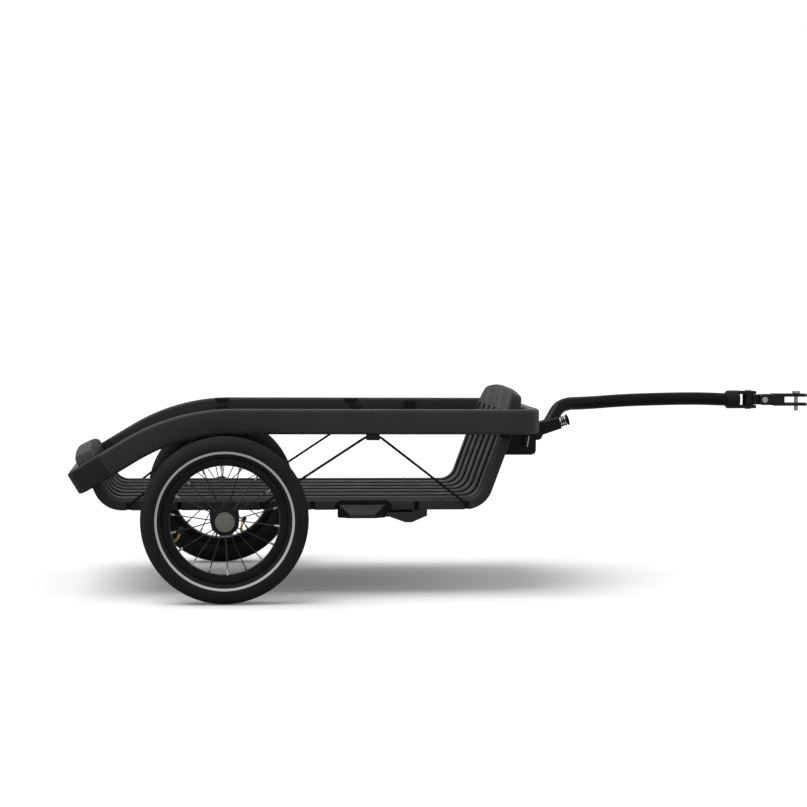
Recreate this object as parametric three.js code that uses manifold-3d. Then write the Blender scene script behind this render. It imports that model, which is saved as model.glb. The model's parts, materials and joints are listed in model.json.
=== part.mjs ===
// A two-wheeled cargo trailer for a bicycle: a bent side rail frame, a grooved deck tray hung in it,
// two quick-release wheels, a folding parking stand and a folding tow arm with a swivelling hitch.
// Millimetres, +X forward to the bicycle, +Y to the trailer's left, +Z up, the ground at Z 0.

import * as THREE from 'three';
import * as BufferGeometryUtils from 'three/addons/utils/BufferGeometryUtils.js';
import Module from 'manifold-3d';

const wasm = await Module();
wasm.setup();

// Clearances and shared finish
const seat_gap = 0.3;
const cut_overrun = 2;
const weld_tolerance = 0.0001;
const ring_steps = 32;
const turned_steps = 16;
const small_steps = 10;
const bend_steps = 5;
const deck_bend_steps = 4;
const round_steps = 2;

// The deck's width, which everything across the trailer is set from
const deck_half_width = 225;

// Wheels
const wheel_radius = 148.5;
const wheel_reach = 85;
const half_track = deck_half_width + wheel_reach;
const tyre_width = 47;
const tyre_wall = 4;
const tyre_outside_shares = [[0.42, 1], [0.76, 0.84], [0.95, 0.46]];
const tyre_inside_shares = [[0.74, 0.54], [0.38, 0.82]];
const rim_flange_radius = 110;
const rim_well_radius = 100;
const rim_inner_radius = 97;
const rim_width = 32;
const rim_wall = 3;
const rim_flat_share = 0.56;
const spoke_count = 18;
const spoke_radius = 1;
const spoke_sides = 4;
const spoke_phases = { left: THREE.MathUtils.degToRad(16.3), right: THREE.MathUtils.degToRad(6.5) };
const nipple_radius = 2;
const nipple_length = 9;
const nipple_seat_gap = 0.7;
const hub_width = 52;
const hub_flange_radius = 26;
const hub_flange_width = 5;
const hub_core_radius = 14;
const hub_bore_radius = 7;
const hub_edge = 2;
const bearing_radius = 11;
const bearing_width = 7;
const valve_radius = 2.6;
const valve_cap_radius = 4.2;
const valve_reach = 16;
const valve_knee_reach = 7.5;
const valve_swing = 10.5;
const valve_lean = 8;
const valve_cap_length = 12;
const valve_angles = { left: THREE.MathUtils.degToRad(64.5), right: THREE.MathUtils.degToRad(157.6) };

// Quick-release axle and its push button
const axle_radius = 6;
const axle_reach = 46;
const axle_collar_radius = 9;
const axle_head_radius = 20;
const axle_head_width = 7;
const button_radius = 17.3;
const button_thickness = 5;
const button_pocket_depth = 5;
const button_travel = 3;
const button_edge = 1.2;

// Side rails, one bent tube on each side
const rail_height = 45;
const rail_thickness = 24;
const rail_wall = 2.5;
const rail_corner = 6;
const rail_middle_height = 318.5;
const rail_outer_half_width = deck_half_width + rail_thickness;
const rail_front = 577;
const rail_front_radius = 48;
const rail_corner_x = -82.75;
const rail_bend_radius = 352.5;
const rail_slope = THREE.MathUtils.degToRad(31.3);
const rail_tail_reach = 218.75;
const rear_cap_length = 54;
const rear_cap_reach = 69;
const rear_cap_corner = 34;
const rear_cap_edge = 4;

// Deck tray, one grooved moulding with a front and a rear wall
const deck_top = 180;
const deck_depth = 22;
const deck_wall_setback = 3;
const deck_skin = 5;
const skirt_wall = 6;
const skirt_chamfer = 7;
const skirt_chamfer_run = 11;
const deck_bend_radius = 30;
const deck_front_corner = 459.2;
const deck_rear_corner = -202.3;
const front_wall_lean = THREE.MathUtils.degToRad(20);
const rear_wall_lean = THREE.MathUtils.degToRad(26);
const groove_margin = 52.5;
const groove_width = 28;
const groove_floor_width = 20;
const groove_depth = 9;
const groove_count = 6;
const groove_pitch = 2 * (deck_half_width - groove_margin) / (groove_count - 1);
const front_wall_top = 378;
const front_wall_skirt_top = 291;
const front_groove_top = 336;
const front_head_setback = 13;
const front_head_half_width = deck_half_width - front_head_setback;
const front_head_corner = 56;
const rear_wall_top = 271;
const rear_wall_skirt_top = 222;
const rear_groove_top = 250;
const rear_head_setback = 29;
const rear_head_half_width = deck_half_width - rear_head_setback;
const rear_head_corner = 36;
const rear_lip_low = 251;
const rear_lip_swell = 9;
const head_crown = 8;
const head_edge = 4;
const head_wall = 5;
const head_lap = 6;
const notch_width = 8;
const notch_depth = 4;
const notch_height = deck_depth - skirt_chamfer;
const notch_places = [-170.6, -80.6, 68.4, 159.4, 348.4, 440.4];
const finger_recess_rear = 198.4;
const finger_recess_front = 304.4;
const finger_recess_top = 175;
const finger_recess_slope = 9;

// Axle beam under the deck, with a receiver block at each end
const beam_width = 40;
const beam_bottom = 136;
const beam_edge = 3;
const receiver_half_width = 26;
const receiver_inset = 35;
const receiver_reach = 47;
const receiver_inner = deck_half_width - receiver_inset;
const receiver_outer = deck_half_width + receiver_reach;
const beam_bolt_inset = 105;
const beam_bolt_place = deck_half_width - beam_bolt_inset;
const beam_bolt_radius = 4;
const beam_bolt_head_radius = 6.5;
const beam_bolt_head_height = 5;

// Side cords, held by a clip under each rail and by the notches in the deck's skirt
const cord_radius = 2.25;
const cord_sides = 8;
const clip_width = 23;
const clip_drop = 10;
const clip_plate = 4;
const clip_plate_rise = 36;
const clip_edge = 2;
const clip_channel_width = 6;
const clip_channel_height = 6;
const rear_clip_place = 0;
const middle_clip_place = 267.4;
const cord_turn_height = 168;
const cord_foot_height = 161;

// Parking stand: two legs on one shaft, folded back under the deck
const stand_axis_x = 352;
const stand_axis_z = 151;
const stand_shaft_radius = 5;
const stand_leg_length = 146;
const stand_leg_thickness = 12;
const stand_leg_height = 13;
const stand_foot_length = 86;
const stand_foot_bottom = 143.5;
const stand_foot_top = 167.5;
const stand_foot_slope = 20;
const stand_foot_front_height = 7;
const stand_housing_rear = 294;
const stand_housing_front = 368;
const stand_housing_low = 134.9;
const stand_housing_low_x = 334;
const stand_housing_flat = 6;
const stand_swing_gap = 2;
const stand_cheek = 20;
const stand_leg_inset = 19;
const stand_leg_inner = deck_half_width - stand_leg_inset;
const stand_housing_inner = stand_leg_inner - stand_cheek;
const stand_foot_lap = 3;
const stand_foot_inner = stand_leg_inner - stand_foot_lap;
const stand_foot_reach = 11;
const stand_foot_outer = deck_half_width + stand_foot_reach;
const stand_housing_corner_height = 147;

// Tow bracket under the front of the frame, and the fold axis of the arm
const bracket_half_width = 27;
const bracket_bottom = 243.6;
const bracket_front = 598;
const bracket_corner = 8;
const bracket_cheek = 11;
const fold_axis_x = 601;
const fold_axis_z = 282;
const fold_lug_radius = 10;
const fold_pin_radius = 5;
const fold_pin_head_radius = 7;
const fold_pin_head = 4;

// Arm socket with its lock pin and spring
const socket_half_width = 15;
const socket_rise = THREE.MathUtils.degToRad(17);
const socket_length = 51.1;
const socket_root_height = 26.5;
const socket_nose_height = 23;
const socket_edge = 2.5;
const socket_centre_lift = 8.25;
const tube_seat_lift = 6.5;
const lock_pin_radius = 4;
const lock_pin_inside = 26;
const spring_radius = 9;
const spring_wire_radius = 1.2;
const spring_turns = 3;
const spring_turn_steps = 8;
const spring_wire_sides = 5;
const spring_length = 15;
const knob_radius = 11;
const knob_thickness = 3;
const lock_travel = 4;

// Arm tube, from the socket up and out to the left of the rear wheel
const arm_tube_radius = 12.7;
const arm_tube_wall = 2;
const arm_tube_sides = 12;
const arm_tube_steps = 22;
const arm_start_x = 621;
const arm_start_z = 293;
const arm_length = 375;
const arm_offset = 90;
const arm_rise = 52.5;
const arm_path_shares = [
  [0, 0, 0],
  [0.03, 0.13, 0.26],
  [0.077, 0.29, 0.71],
  [0.13, 0.44, 0.86],
  [0.2, 0.58, 0.88],
  [0.28, 0.7, 0.9],
  [0.4, 0.84, 0.95],
  [0.54, 0.94, 0.99],
  [0.83, 1, 1.03],
  [1, 1, 1],
];

// Hitch: a housing on the arm, a knuckle that turns sideways and a clevis that tilts
const housing_radius = 18;
const housing_length = 26;
const housing_edge = 3;
const fork_length = 36;
const fork_cheek = 6;
const fork_half_width = 14;
const fork_gap = 22;
const yaw_axis_reach = 46;
const pitch_axis_reach = 76;
const knuckle_height = 21;
const knuckle_tongue = 14;
const knuckle_radius = 11;
const knuckle_bar_step = 1;
const knuckle_pin_radius = 4;
const knuckle_pin_head = 2;
const clevis_cheek = 6;
const clevis_half_height = 12;
const clevis_cheek_half_height = 10.5;
const clevis_cheek_nose_shares = [[0.9, 0.6], [0.5, 1]];
const clevis_body_reach = 96;
const clevis_body_length = 20;
const clevis_mouth_gap = 12;
const clevis_arm_length = 48;
const hitch_pin_reach = 144;
const hitch_pin_radius = 4;
const hitch_pin_head_radius = 8;
const hitch_pin_head = 5;
const hitch_pin_tail = 10;

// Derived places
const rail_centre_y = rail_outer_half_width - rail_thickness / 2;
const rail_inner_y = rail_outer_half_width - rail_thickness;
const rail_bottom = rail_middle_height - rail_height / 2;
const rail_front_centre = rail_front - rail_thickness / 2;
const rail_bend_tangent = rail_bend_radius * Math.tan(rail_slope / 2);
const rail_bend_start = rail_corner_x + rail_bend_tangent;
const rail_tail_length = rail_tail_reach - rail_bend_tangent;
const bend_end_x = rail_bend_start - rail_bend_radius * Math.sin(rail_slope);
const bend_end_z = rail_middle_height - rail_bend_radius * (1 - Math.cos(rail_slope));
const deck_bottom = deck_top - deck_depth;
const hub_outer_y = half_track + hub_width / 2;
const hub_inner_y = half_track - hub_width / 2;
const axle_z = wheel_radius;
const rim_bore = rim_inner_radius * Math.cos(Math.PI / ring_steps);
const beam_top = deck_top - groove_depth - deck_skin - seat_gap;
const arm_end = new THREE.Vector3(arm_start_x + arm_length, arm_offset, arm_start_z + arm_rise);

// Materials
function finish(colour, roughness, metalness = 0) {
  return () => new THREE.MeshStandardMaterial({ color: colour, roughness, metalness });
}
const rail_finish = finish(0x2e3033, 0.45, 0.3);
const deck_finish = finish(0x3c3c3a, 0.6);
const plastic_finish = finish(0x262625, 0.55);
const tyre_finish = finish(0x1f2020, 0.85);
const rim_finish = finish(0x242424, 0.5, 0.3);
const steel_finish = finish(0x9a9c9e, 0.35, 0.9);
const black_steel_finish = finish(0x1a1a1b, 0.3, 0.6);
const gloss_finish = finish(0x17181a, 0.15, 0.4);
const brass_finish = finish(0xb8963f, 0.35, 0.9);
const cap_finish = finish(0x64645c, 0.55);
const cord_finish = finish(0x161616, 0.8);

// Geometry helpers
function facingOut(source) {
  const bare = source.index ? source.toNonIndexed() : source.clone();
  for (const name of Object.keys(bare.attributes)) {
    if (name !== 'position') bare.deleteAttribute(name);
  }
  const welded = BufferGeometryUtils.mergeVertices(bare, weld_tolerance);
  const p = welded.attributes.position;
  const index = [];
  const [a, b, c] = [new THREE.Vector3(), new THREE.Vector3(), new THREE.Vector3()];
  let volume = 0;
  for (let i = 0; i < welded.index.count; i += 3) {
    const corners = [welded.index.getX(i), welded.index.getX(i + 1), welded.index.getX(i + 2)];
    if (new Set(corners).size < corners.length) continue;
    a.fromBufferAttribute(p, corners[0]);
    b.fromBufferAttribute(p, corners[1]);
    c.fromBufferAttribute(p, corners[2]);
    volume += a.dot(b.cross(c));
    index.push(...corners);
  }
  if (volume < 0) {
    for (let i = 0; i < index.length; i += 3) [index[i + 1], index[i + 2]] = [index[i + 2], index[i + 1]];
  }
  welded.setIndex(index);
  return welded;
}

function solid(geometry) {
  const closed = facingOut(geometry);
  const mesh = new wasm.Mesh({
    numProp: 3,
    vertProperties: Float32Array.from(closed.attributes.position.array),
    triVerts: Uint32Array.from(closed.index.array),
  });
  return new wasm.Manifold(mesh);
}

function surface(body) {
  const mesh = body.getMesh();
  const geometry = new THREE.BufferGeometry();
  geometry.setAttribute('position', new THREE.BufferAttribute(Float32Array.from(mesh.vertProperties), 3));
  geometry.setIndex(Array.from(mesh.triVerts));
  return geometry;
}

function joined(first, ...rest) {
  return surface(rest.reduce((body, next) => body.add(solid(next)), solid(first)));
}

function cutBy(first, ...tools) {
  return surface(tools.reduce((body, tool) => body.subtract(solid(tool)), solid(first)));
}

function moved(geometry, x, y, z) {
  return geometry.clone().translate(x, y, z);
}

function mirrored(geometry) {
  return facingOut(geometry.clone().scale(1, -1, 1));
}

// A closed skin through rings of points, each ring with as many points as the outline
function loft(rings) {
  const count = rings[0].length;
  const positions = rings.flat().flatMap((v) => [v.x, v.y, v.z]);
  const index = [];
  for (let r = 0; r < rings.length - 1; r += 1) {
    for (let i = 0; i < count; i += 1) {
      const j = (i + 1) % count;
      const [a, b, c, d] = [r * count + i, r * count + j, (r + 1) * count + j, (r + 1) * count + i];
      index.push(a, b, c, a, c, d);
    }
  }
  return { positions, index, count, last: (rings.length - 1) * count };
}

// The same skin with flat ends, for rings whose outline bulges outward all round
function closedLoft(rings) {
  const skin = loft(rings);
  for (let i = 1; i < skin.count - 1; i += 1) {
    skin.index.push(0, i + 1, i, skin.last, skin.last + i, skin.last + i + 1);
  }
  const geometry = new THREE.BufferGeometry();
  geometry.setAttribute('position', new THREE.Float32BufferAttribute(skin.positions, 3));
  geometry.setIndex(skin.index);
  return facingOut(geometry);
}

function sweep(points, stations) {
  const outline = THREE.ShapeUtils.isClockWise(points) ? [...points].reverse() : points;
  const place = (p, s) => s.origin.clone().addScaledVector(s.across, p.x).addScaledVector(s.up, p.y);
  const skin = loft(stations.map((s) => outline.map((p) => place(p, s))));
  for (const [a, b, c] of THREE.ShapeUtils.triangulateShape(outline, [])) {
    skin.index.push(a, c, b, skin.last + a, skin.last + b, skin.last + c);
  }
  const geometry = new THREE.BufferGeometry();
  geometry.setAttribute('position', new THREE.Float32BufferAttribute(skin.positions, 3));
  geometry.setIndex(skin.index);
  return facingOut(geometry);
}

function roundedOutline(width, height, radius, steps) {
  const points = [];
  const corners = [
    [1, 1, 0],
    [-1, 1, 1],
    [-1, -1, 2],
    [1, -1, 3],
  ];
  for (const [sx, sy, quarter] of corners) {
    for (let i = 0; i <= steps; i += 1) {
      const angle = (quarter + i / steps) * (Math.PI / 2);
      points.push(new THREE.Vector2(
        sx * (width / 2 - radius) + radius * Math.cos(angle),
        sy * (height / 2 - radius) + radius * Math.sin(angle),
      ));
    }
  }
  return points;
}

function turned(profile, steps) {
  return facingOut(new THREE.LatheGeometry(profile.map(([r, y]) => new THREE.Vector2(r, y)), steps));
}

function closedRing(profile, steps) {
  return turned([...profile, profile[0]], steps);
}

function rod(radius, length, steps) {
  return new THREE.CylinderGeometry(radius, radius, length, steps);
}

function uprightRod(radius, length, steps) {
  return rod(radius, length, steps).rotateX(Math.PI / 2);
}

// An outline in X and Z, made solid across Y about the middle plane
function sidePlate(points, width, edge) {
  const shape = new THREE.Shape(points.map(([x, z]) => new THREE.Vector2(x, z)));
  const plate = new THREE.ExtrudeGeometry(shape, {
    depth: width - 2 * edge,
    bevelEnabled: edge > 0,
    bevelThickness: edge,
    bevelSize: edge,
    bevelOffset: -edge,
    bevelSegments: 1,
    curveSegments: small_steps,
  });
  return facingOut(plate.rotateX(Math.PI / 2).translate(0, width / 2 - edge, 0));
}

function tube(curve, radius, sides, steps) {
  const shape = new THREE.Shape();
  for (let i = 0; i < sides; i += 1) {
    const angle = (i / sides) * 2 * Math.PI;
    const point = [radius * Math.cos(angle), radius * Math.sin(angle)];
    if (i === 0) shape.moveTo(...point);
    else shape.lineTo(...point);
  }
  return facingOut(new THREE.ExtrudeGeometry(shape, { steps, extrudePath: curve, bevelEnabled: false }));
}

function line(a, b) {
  return new THREE.LineCurve3(a, b);
}

// The assembly
const trailer = new THREE.Group();

function addPiece(name, geometry, makeMaterial, parent = trailer) {
  const mesh = new THREE.Mesh(facingOut(geometry), makeMaterial());
  mesh.name = name;
  parent.add(mesh);
  return mesh;
}

const sides = [
  { word: 'left', sign: 1 },
  { word: 'right', sign: -1 },
];

function onSide(geometry, sign) {
  return sign > 0 ? geometry : mirrored(geometry);
}

// Side rails
function railStations() {
  const stations = [];
  const slope_run = rear_cap_length - seat_gap;
  const tail = new THREE.Vector3(-Math.cos(rail_slope), 0, -Math.sin(rail_slope));
  const tilt_up = new THREE.Vector3(-Math.sin(rail_slope), 0, Math.cos(rail_slope));
  const bend_end = new THREE.Vector3(bend_end_x, rail_centre_y, bend_end_z);
  const outward = new THREE.Vector3(0, 1, 0);
  stations.push({ origin: bend_end.clone().addScaledVector(tail, slope_run), across: outward, up: tilt_up });
  for (let i = 0; i <= bend_steps; i += 1) {
    const angle = rail_slope * (1 - i / bend_steps);
    const x = rail_bend_start - rail_bend_radius * Math.sin(angle);
    const z = rail_middle_height - rail_bend_radius * (1 - Math.cos(angle));
    stations.push({
      origin: new THREE.Vector3(x, rail_centre_y, z),
      across: outward,
      up: new THREE.Vector3(-Math.sin(angle), 0, Math.cos(angle)),
    });
  }
  const corner_x = rail_front_centre - rail_front_radius;
  const corner_y = rail_centre_y - rail_front_radius;
  for (let i = 0; i <= bend_steps; i += 1) {
    const angle = (i / bend_steps) * (Math.PI / 2);
    const across = new THREE.Vector3(Math.sin(angle), Math.cos(angle), 0);
    const origin = new THREE.Vector3(corner_x, corner_y, rail_middle_height);
    stations.push({
      origin: origin.addScaledVector(across, rail_front_radius),
      across,
      up: new THREE.Vector3(0, 0, 1),
    });
  }
  stations.push({
    origin: new THREE.Vector3(rail_front_centre, seat_gap / 2, rail_middle_height),
    across: new THREE.Vector3(1, 0, 0),
    up: new THREE.Vector3(0, 0, 1),
  });
  return stations;
}

function stretched(stations, overrun) {
  const ends = stations.map((s) => ({ ...s, origin: s.origin.clone() }));
  const last = ends.length - 1;
  const back = ends[0].origin.clone().sub(ends[1].origin).normalize();
  const ahead = ends[last].origin.clone().sub(ends[last - 1].origin).normalize();
  ends[0].origin.addScaledVector(back, overrun);
  ends[last].origin.addScaledVector(ahead, overrun);
  return ends;
}

function hollowSweep(width, height, radius, wall, stations) {
  const outer = roundedOutline(width, height, radius, round_steps);
  const inner = roundedOutline(width - 2 * wall, height - 2 * wall, radius - wall, 1);
  return cutBy(sweep(outer, stations), sweep(inner, stretched(stations, cut_overrun)));
}

const rail = hollowSweep(rail_thickness, rail_height, rail_corner, rail_wall, railStations());
for (const { word, sign } of sides) addPiece(`side_rail_${word}`, onSide(rail, sign), rail_finish);

// Rear corner caps and the crossbar between them, all in the plane of the sloping rail
const tail_frame = new THREE.Matrix4().makeBasis(
  new THREE.Vector3(-Math.cos(rail_slope), 0, -Math.sin(rail_slope)),
  new THREE.Vector3(0, 1, 0),
  new THREE.Vector3(Math.sin(rail_slope), 0, -Math.cos(rail_slope)),
).setPosition(bend_end_x, 0, bend_end_z);
const cap_inner_y = rail_outer_half_width - rear_cap_reach;

function rearCap() {
  const outer_y = rail_outer_half_width;
  const tail_end = rail_tail_length;
  const shape = new THREE.Shape();
  shape.moveTo(rear_cap_length, rail_inner_y);
  shape.lineTo(tail_end - rail_thickness, rail_inner_y);
  shape.lineTo(tail_end - rail_thickness, cap_inner_y);
  shape.lineTo(tail_end, cap_inner_y);
  shape.lineTo(tail_end, outer_y - rear_cap_corner);
  shape.absarc(tail_end - rear_cap_corner, outer_y - rear_cap_corner, rear_cap_corner, 0, Math.PI / 2);
  shape.lineTo(rear_cap_length, outer_y);
  shape.closePath();
  const cap = new THREE.ExtrudeGeometry(shape, {
    depth: rail_height - 2 * rear_cap_edge,
    bevelThickness: rear_cap_edge,
    bevelSize: rear_cap_edge,
    bevelOffset: -rear_cap_edge,
    bevelSegments: round_steps,
    curveSegments: deck_bend_steps,
  });
  cap.translate(0, 0, rear_cap_edge - rail_height / 2);
  return facingOut(cap.applyMatrix4(tail_frame));
}

const crossbar_half = cap_inner_y - seat_gap;
const tail_across = new THREE.Vector3(-Math.cos(rail_slope), 0, -Math.sin(rail_slope));
const tail_up = new THREE.Vector3(-Math.sin(rail_slope), 0, Math.cos(rail_slope));

function crossbarStations() {
  return [-1, 1].map((end) => ({
    origin: new THREE.Vector3(bend_end_x, end * crossbar_half, bend_end_z)
      .addScaledVector(tail_across, rail_tail_length - rail_thickness / 2),
    across: tail_across,
    up: tail_up,
  }));
}

const rear_cap = rearCap();
for (const { word, sign } of sides) addPiece(`rear_corner_${word}`, onSide(rear_cap, sign), plastic_finish);
addPiece(
  'rear_crossbar',
  hollowSweep(rail_thickness, rail_height, rail_corner, rail_wall, crossbarStations()),
  rail_finish,
);

// Deck tray
function deckOutline(half_width) {
  const top = [];
  const under = [];
  const first = -((groove_count - 1) / 2) * groove_pitch;
  const wide = groove_width / 2;
  const narrow = groove_floor_width / 2;
  const under_wide = wide + deck_skin / 2;
  const under_narrow = narrow + deck_skin / 2;
  for (let i = 0; i < groove_count; i += 1) {
    const y = first + i * groove_pitch;
    top.push([y - wide, 0], [y - narrow, -groove_depth], [y + narrow, -groove_depth], [y + wide, 0]);
    under.push(
      [y - under_wide, -deck_skin],
      [y - under_narrow, -groove_depth - deck_skin],
      [y + under_narrow, -groove_depth - deck_skin],
      [y + under_wide, -deck_skin],
    );
  }
  const skirt_inner = half_width - skirt_wall;
  const points = [
    [-half_width, -deck_depth],
    [-half_width, -skirt_chamfer],
    [-half_width + skirt_chamfer_run, 0],
    ...top,
    [half_width - skirt_chamfer_run, 0],
    [half_width, -skirt_chamfer],
    [half_width, -deck_depth],
    [skirt_inner, -deck_depth],
    [skirt_inner, -skirt_chamfer],
    [skirt_inner - deck_skin, -deck_skin],
    ...under.reverse(),
    [-skirt_inner + deck_skin, -deck_skin],
    [-skirt_inner, -skirt_chamfer],
    [-skirt_inner, -deck_depth],
  ];
  return points.map(([y, z]) => new THREE.Vector2(y, z));
}

const front_turn = Math.PI / 2 - front_wall_lean;
const rear_turn = Math.PI / 2 - rear_wall_lean;
const across_deck = new THREE.Vector3(0, 1, 0);

function wallFrame(turn) {
  return {
    along: new THREE.Vector3(Math.cos(turn), 0, Math.sin(turn)),
    up: new THREE.Vector3(-Math.sin(turn), 0, Math.cos(turn)),
  };
}

function reachUpWall(height, lean) {
  return (height - deck_top) / Math.cos(lean);
}

function deckStations() {
  const stations = [];
  const rear = wallFrame(-rear_turn);
  const front = wallFrame(front_turn);
  const rear_corner = new THREE.Vector3(deck_rear_corner, 0, deck_top);
  const front_corner = new THREE.Vector3(deck_front_corner, 0, deck_top);
  const rear_tangent = deck_bend_radius * Math.tan(rear_turn / 2);
  const front_tangent = deck_bend_radius * Math.tan(front_turn / 2);
  const rear_reach = reachUpWall(rear_wall_skirt_top, rear_wall_lean);
  const front_reach = reachUpWall(front_wall_skirt_top, front_wall_lean);
  const bend_z = deck_top + deck_bend_radius;
  const station = (origin, turn) => ({ origin, across: across_deck, up: wallFrame(turn).up });
  stations.push(station(rear_corner.clone().addScaledVector(rear.along, -rear_reach), -rear_turn));
  for (let i = 0; i <= deck_bend_steps; i += 1) {
    const turn = -rear_turn * (1 - i / deck_bend_steps);
    const centre = new THREE.Vector3(deck_rear_corner + rear_tangent, 0, bend_z);
    stations.push(station(centre.addScaledVector(wallFrame(turn).up, -deck_bend_radius), turn));
  }
  for (let i = 0; i <= deck_bend_steps; i += 1) {
    const turn = front_turn * (i / deck_bend_steps);
    const centre = new THREE.Vector3(deck_front_corner - front_tangent, 0, bend_z);
    stations.push(station(centre.addScaledVector(wallFrame(turn).up, -deck_bend_radius), turn));
  }
  stations.push(station(front_corner.clone().addScaledVector(front.along, front_reach), front_turn));
  return stations;
}

function headShape(half_width, base, top, corner, inset) {
  const side = half_width - inset;
  const low = base + inset;
  const shoulder = top - head_crown - corner;
  const radius = corner - inset;
  const shape = new THREE.Shape();
  shape.moveTo(-side, low);
  shape.lineTo(side, low);
  shape.lineTo(side, shoulder);
  shape.absarc(side - radius, shoulder, radius, 0, Math.PI / 2);
  shape.quadraticCurveTo(0, top - inset + head_crown, -side + radius, shoulder + radius);
  shape.absarc(-side + radius, shoulder, radius, Math.PI / 2, Math.PI);
  shape.closePath();
  return shape;
}

// The arched end of a wall: a plate as thick as the skirt is deep, hollowed from outside and grooved
// inside, which can swell outward into a lip from a given reach up
function headPlate(corner_x, turn, half_width, base, top, corner_radius, groove_top, lip_base, swell) {
  const sign = Math.sign(turn);
  const climb = wallFrame(turn).along.multiplyScalar(sign);
  const inward = wallFrame(turn).up;
  const frame = new THREE.Matrix4()
    .makeBasis(across_deck, climb, inward.multiplyScalar(-sign))
    .setPosition(corner_x, 0, deck_top);
  const from_inner = (depth, length) => (sign > 0 ? depth : -depth - length);
  const lip_depth = deck_depth + swell;
  const plate = new THREE.ExtrudeGeometry(headShape(half_width, base, top, corner_radius, 0), {
    depth: lip_depth - 2 * head_edge,
    bevelThickness: head_edge,
    bevelSize: head_edge,
    bevelOffset: -head_edge,
    bevelSegments: round_steps,
    curveSegments: deck_bend_steps,
  });
  plate.translate(0, 0, from_inner(head_edge, lip_depth - 2 * head_edge));
  const trim_depth = swell + cut_overrun;
  const trim = new THREE.BoxGeometry(2 * half_width, lip_base - base + cut_overrun, trim_depth);
  const trim_middle = from_inner(deck_depth, trim_depth) + trim_depth / 2;
  trim.translate(0, (lip_base + base - cut_overrun) / 2, trim_middle);
  const pocket_depth = deck_depth - groove_depth - deck_skin;
  const pocket_shape = headShape(half_width, base, top, corner_radius, head_edge + head_wall);
  const pocket = new THREE.ExtrudeGeometry(pocket_shape, {
    depth: pocket_depth + swell + cut_overrun,
    bevelEnabled: false,
    curveSegments: round_steps,
  });
  pocket.translate(0, 0, from_inner(deck_depth - pocket_depth, pocket_depth + swell + cut_overrun));
  const tools = [trim, pocket];
  const first = -((groove_count - 1) / 2) * groove_pitch;
  for (let i = 0; i < groove_count; i += 1) {
    const length = groove_top - base + cut_overrun;
    const groove = new THREE.Shape();
    groove.moveTo(-groove_width / 2, cut_overrun);
    groove.lineTo(-groove_width / 2, 0);
    groove.lineTo(-groove_floor_width / 2, -groove_depth);
    groove.lineTo(groove_floor_width / 2, -groove_depth);
    groove.lineTo(groove_width / 2, 0);
    groove.lineTo(groove_width / 2, cut_overrun);
    groove.closePath();
    const cutter = new THREE.ExtrudeGeometry(groove, { depth: length, bevelEnabled: false });
    cutter.applyMatrix4(new THREE.Matrix4().makeBasis(
      new THREE.Vector3(1, 0, 0),
      new THREE.Vector3(0, 0, -sign),
      new THREE.Vector3(0, 1, 0),
    ));
    tools.push(cutter.translate(first + i * groove_pitch, base - cut_overrun, 0));
  }
  return cutBy(plate, ...tools).applyMatrix4(frame);
}

function deckTray() {
  const floor = sweep(deckOutline(deck_half_width), deckStations());
  const front_reach = reachUpWall(front_wall_skirt_top, front_wall_lean);
  const rear_reach = reachUpWall(rear_wall_skirt_top, rear_wall_lean);
  const front_head = headPlate(
    deck_front_corner,
    front_turn,
    front_head_half_width,
    front_reach - head_lap,
    reachUpWall(front_wall_top, front_wall_lean),
    front_head_corner,
    reachUpWall(front_groove_top, front_wall_lean),
    front_reach,
    0,
  );
  const rear_head = headPlate(
    deck_rear_corner,
    -rear_turn,
    rear_head_half_width,
    rear_reach - head_lap,
    reachUpWall(rear_wall_top, rear_wall_lean),
    rear_head_corner,
    reachUpWall(rear_groove_top, rear_wall_lean),
    reachUpWall(rear_lip_low, rear_wall_lean),
    rear_lip_swell,
  );
  const tools = [];
  for (const { sign } of sides) {
    for (const x of notch_places) {
      const notch = new THREE.BoxGeometry(notch_width, 2 * notch_depth, notch_height + cut_overrun);
      tools.push(moved(notch, x, sign * deck_half_width, deck_bottom + (notch_height - cut_overrun) / 2));
    }
    const low = deck_bottom - cut_overrun;
    const recess = sidePlate([
      [finger_recess_rear, low],
      [finger_recess_front, low],
      [finger_recess_front, finger_recess_top - finger_recess_slope],
      [finger_recess_front - finger_recess_slope, finger_recess_top],
      [finger_recess_rear + finger_recess_slope, finger_recess_top],
      [finger_recess_rear, finger_recess_top - finger_recess_slope],
    ], 2 * notch_depth, 0);
    tools.push(moved(recess, 0, sign * deck_half_width, 0));
    const end_length = rail_front - bend_end_x + rail_tail_length;
    const rear_trim = new THREE.BoxGeometry(end_length, 2 * deck_wall_setback, end_length);
    const front_trim = rear_trim.clone();
    const trim_z = deck_top + deck_bend_radius + end_length / 2;
    tools.push(moved(rear_trim, deck_rear_corner - end_length / 2, sign * deck_half_width, trim_z));
    tools.push(moved(front_trim, deck_front_corner + end_length / 2, sign * deck_half_width, trim_z));
  }
  return cutBy(joined(floor, front_head, rear_head), ...tools);
}

addPiece('deck_tray', deckTray(), deck_finish);

// Axle beam, receivers and bolts
function axleBeam() {
  const height = beam_top - beam_bottom;
  const stations = [-1, 1].map((end) => ({
    origin: new THREE.Vector3(0, end * (receiver_inner - seat_gap), beam_bottom + height / 2),
    across: new THREE.Vector3(1, 0, 0),
    up: new THREE.Vector3(0, 0, 1),
  }));
  const beam = hollowSweep(beam_width, height, beam_edge, rail_wall, stations);
  const holes = [-1, 1].map((end) => {
    const drill = uprightRod(beam_bolt_radius + seat_gap, height + 2 * cut_overrun, small_steps);
    return moved(drill, 0, end * beam_bolt_place, beam_bottom + height / 2);
  });
  return cutBy(beam, ...holes);
}

addPiece('axle_beam', axleBeam(), rail_finish);

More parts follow.
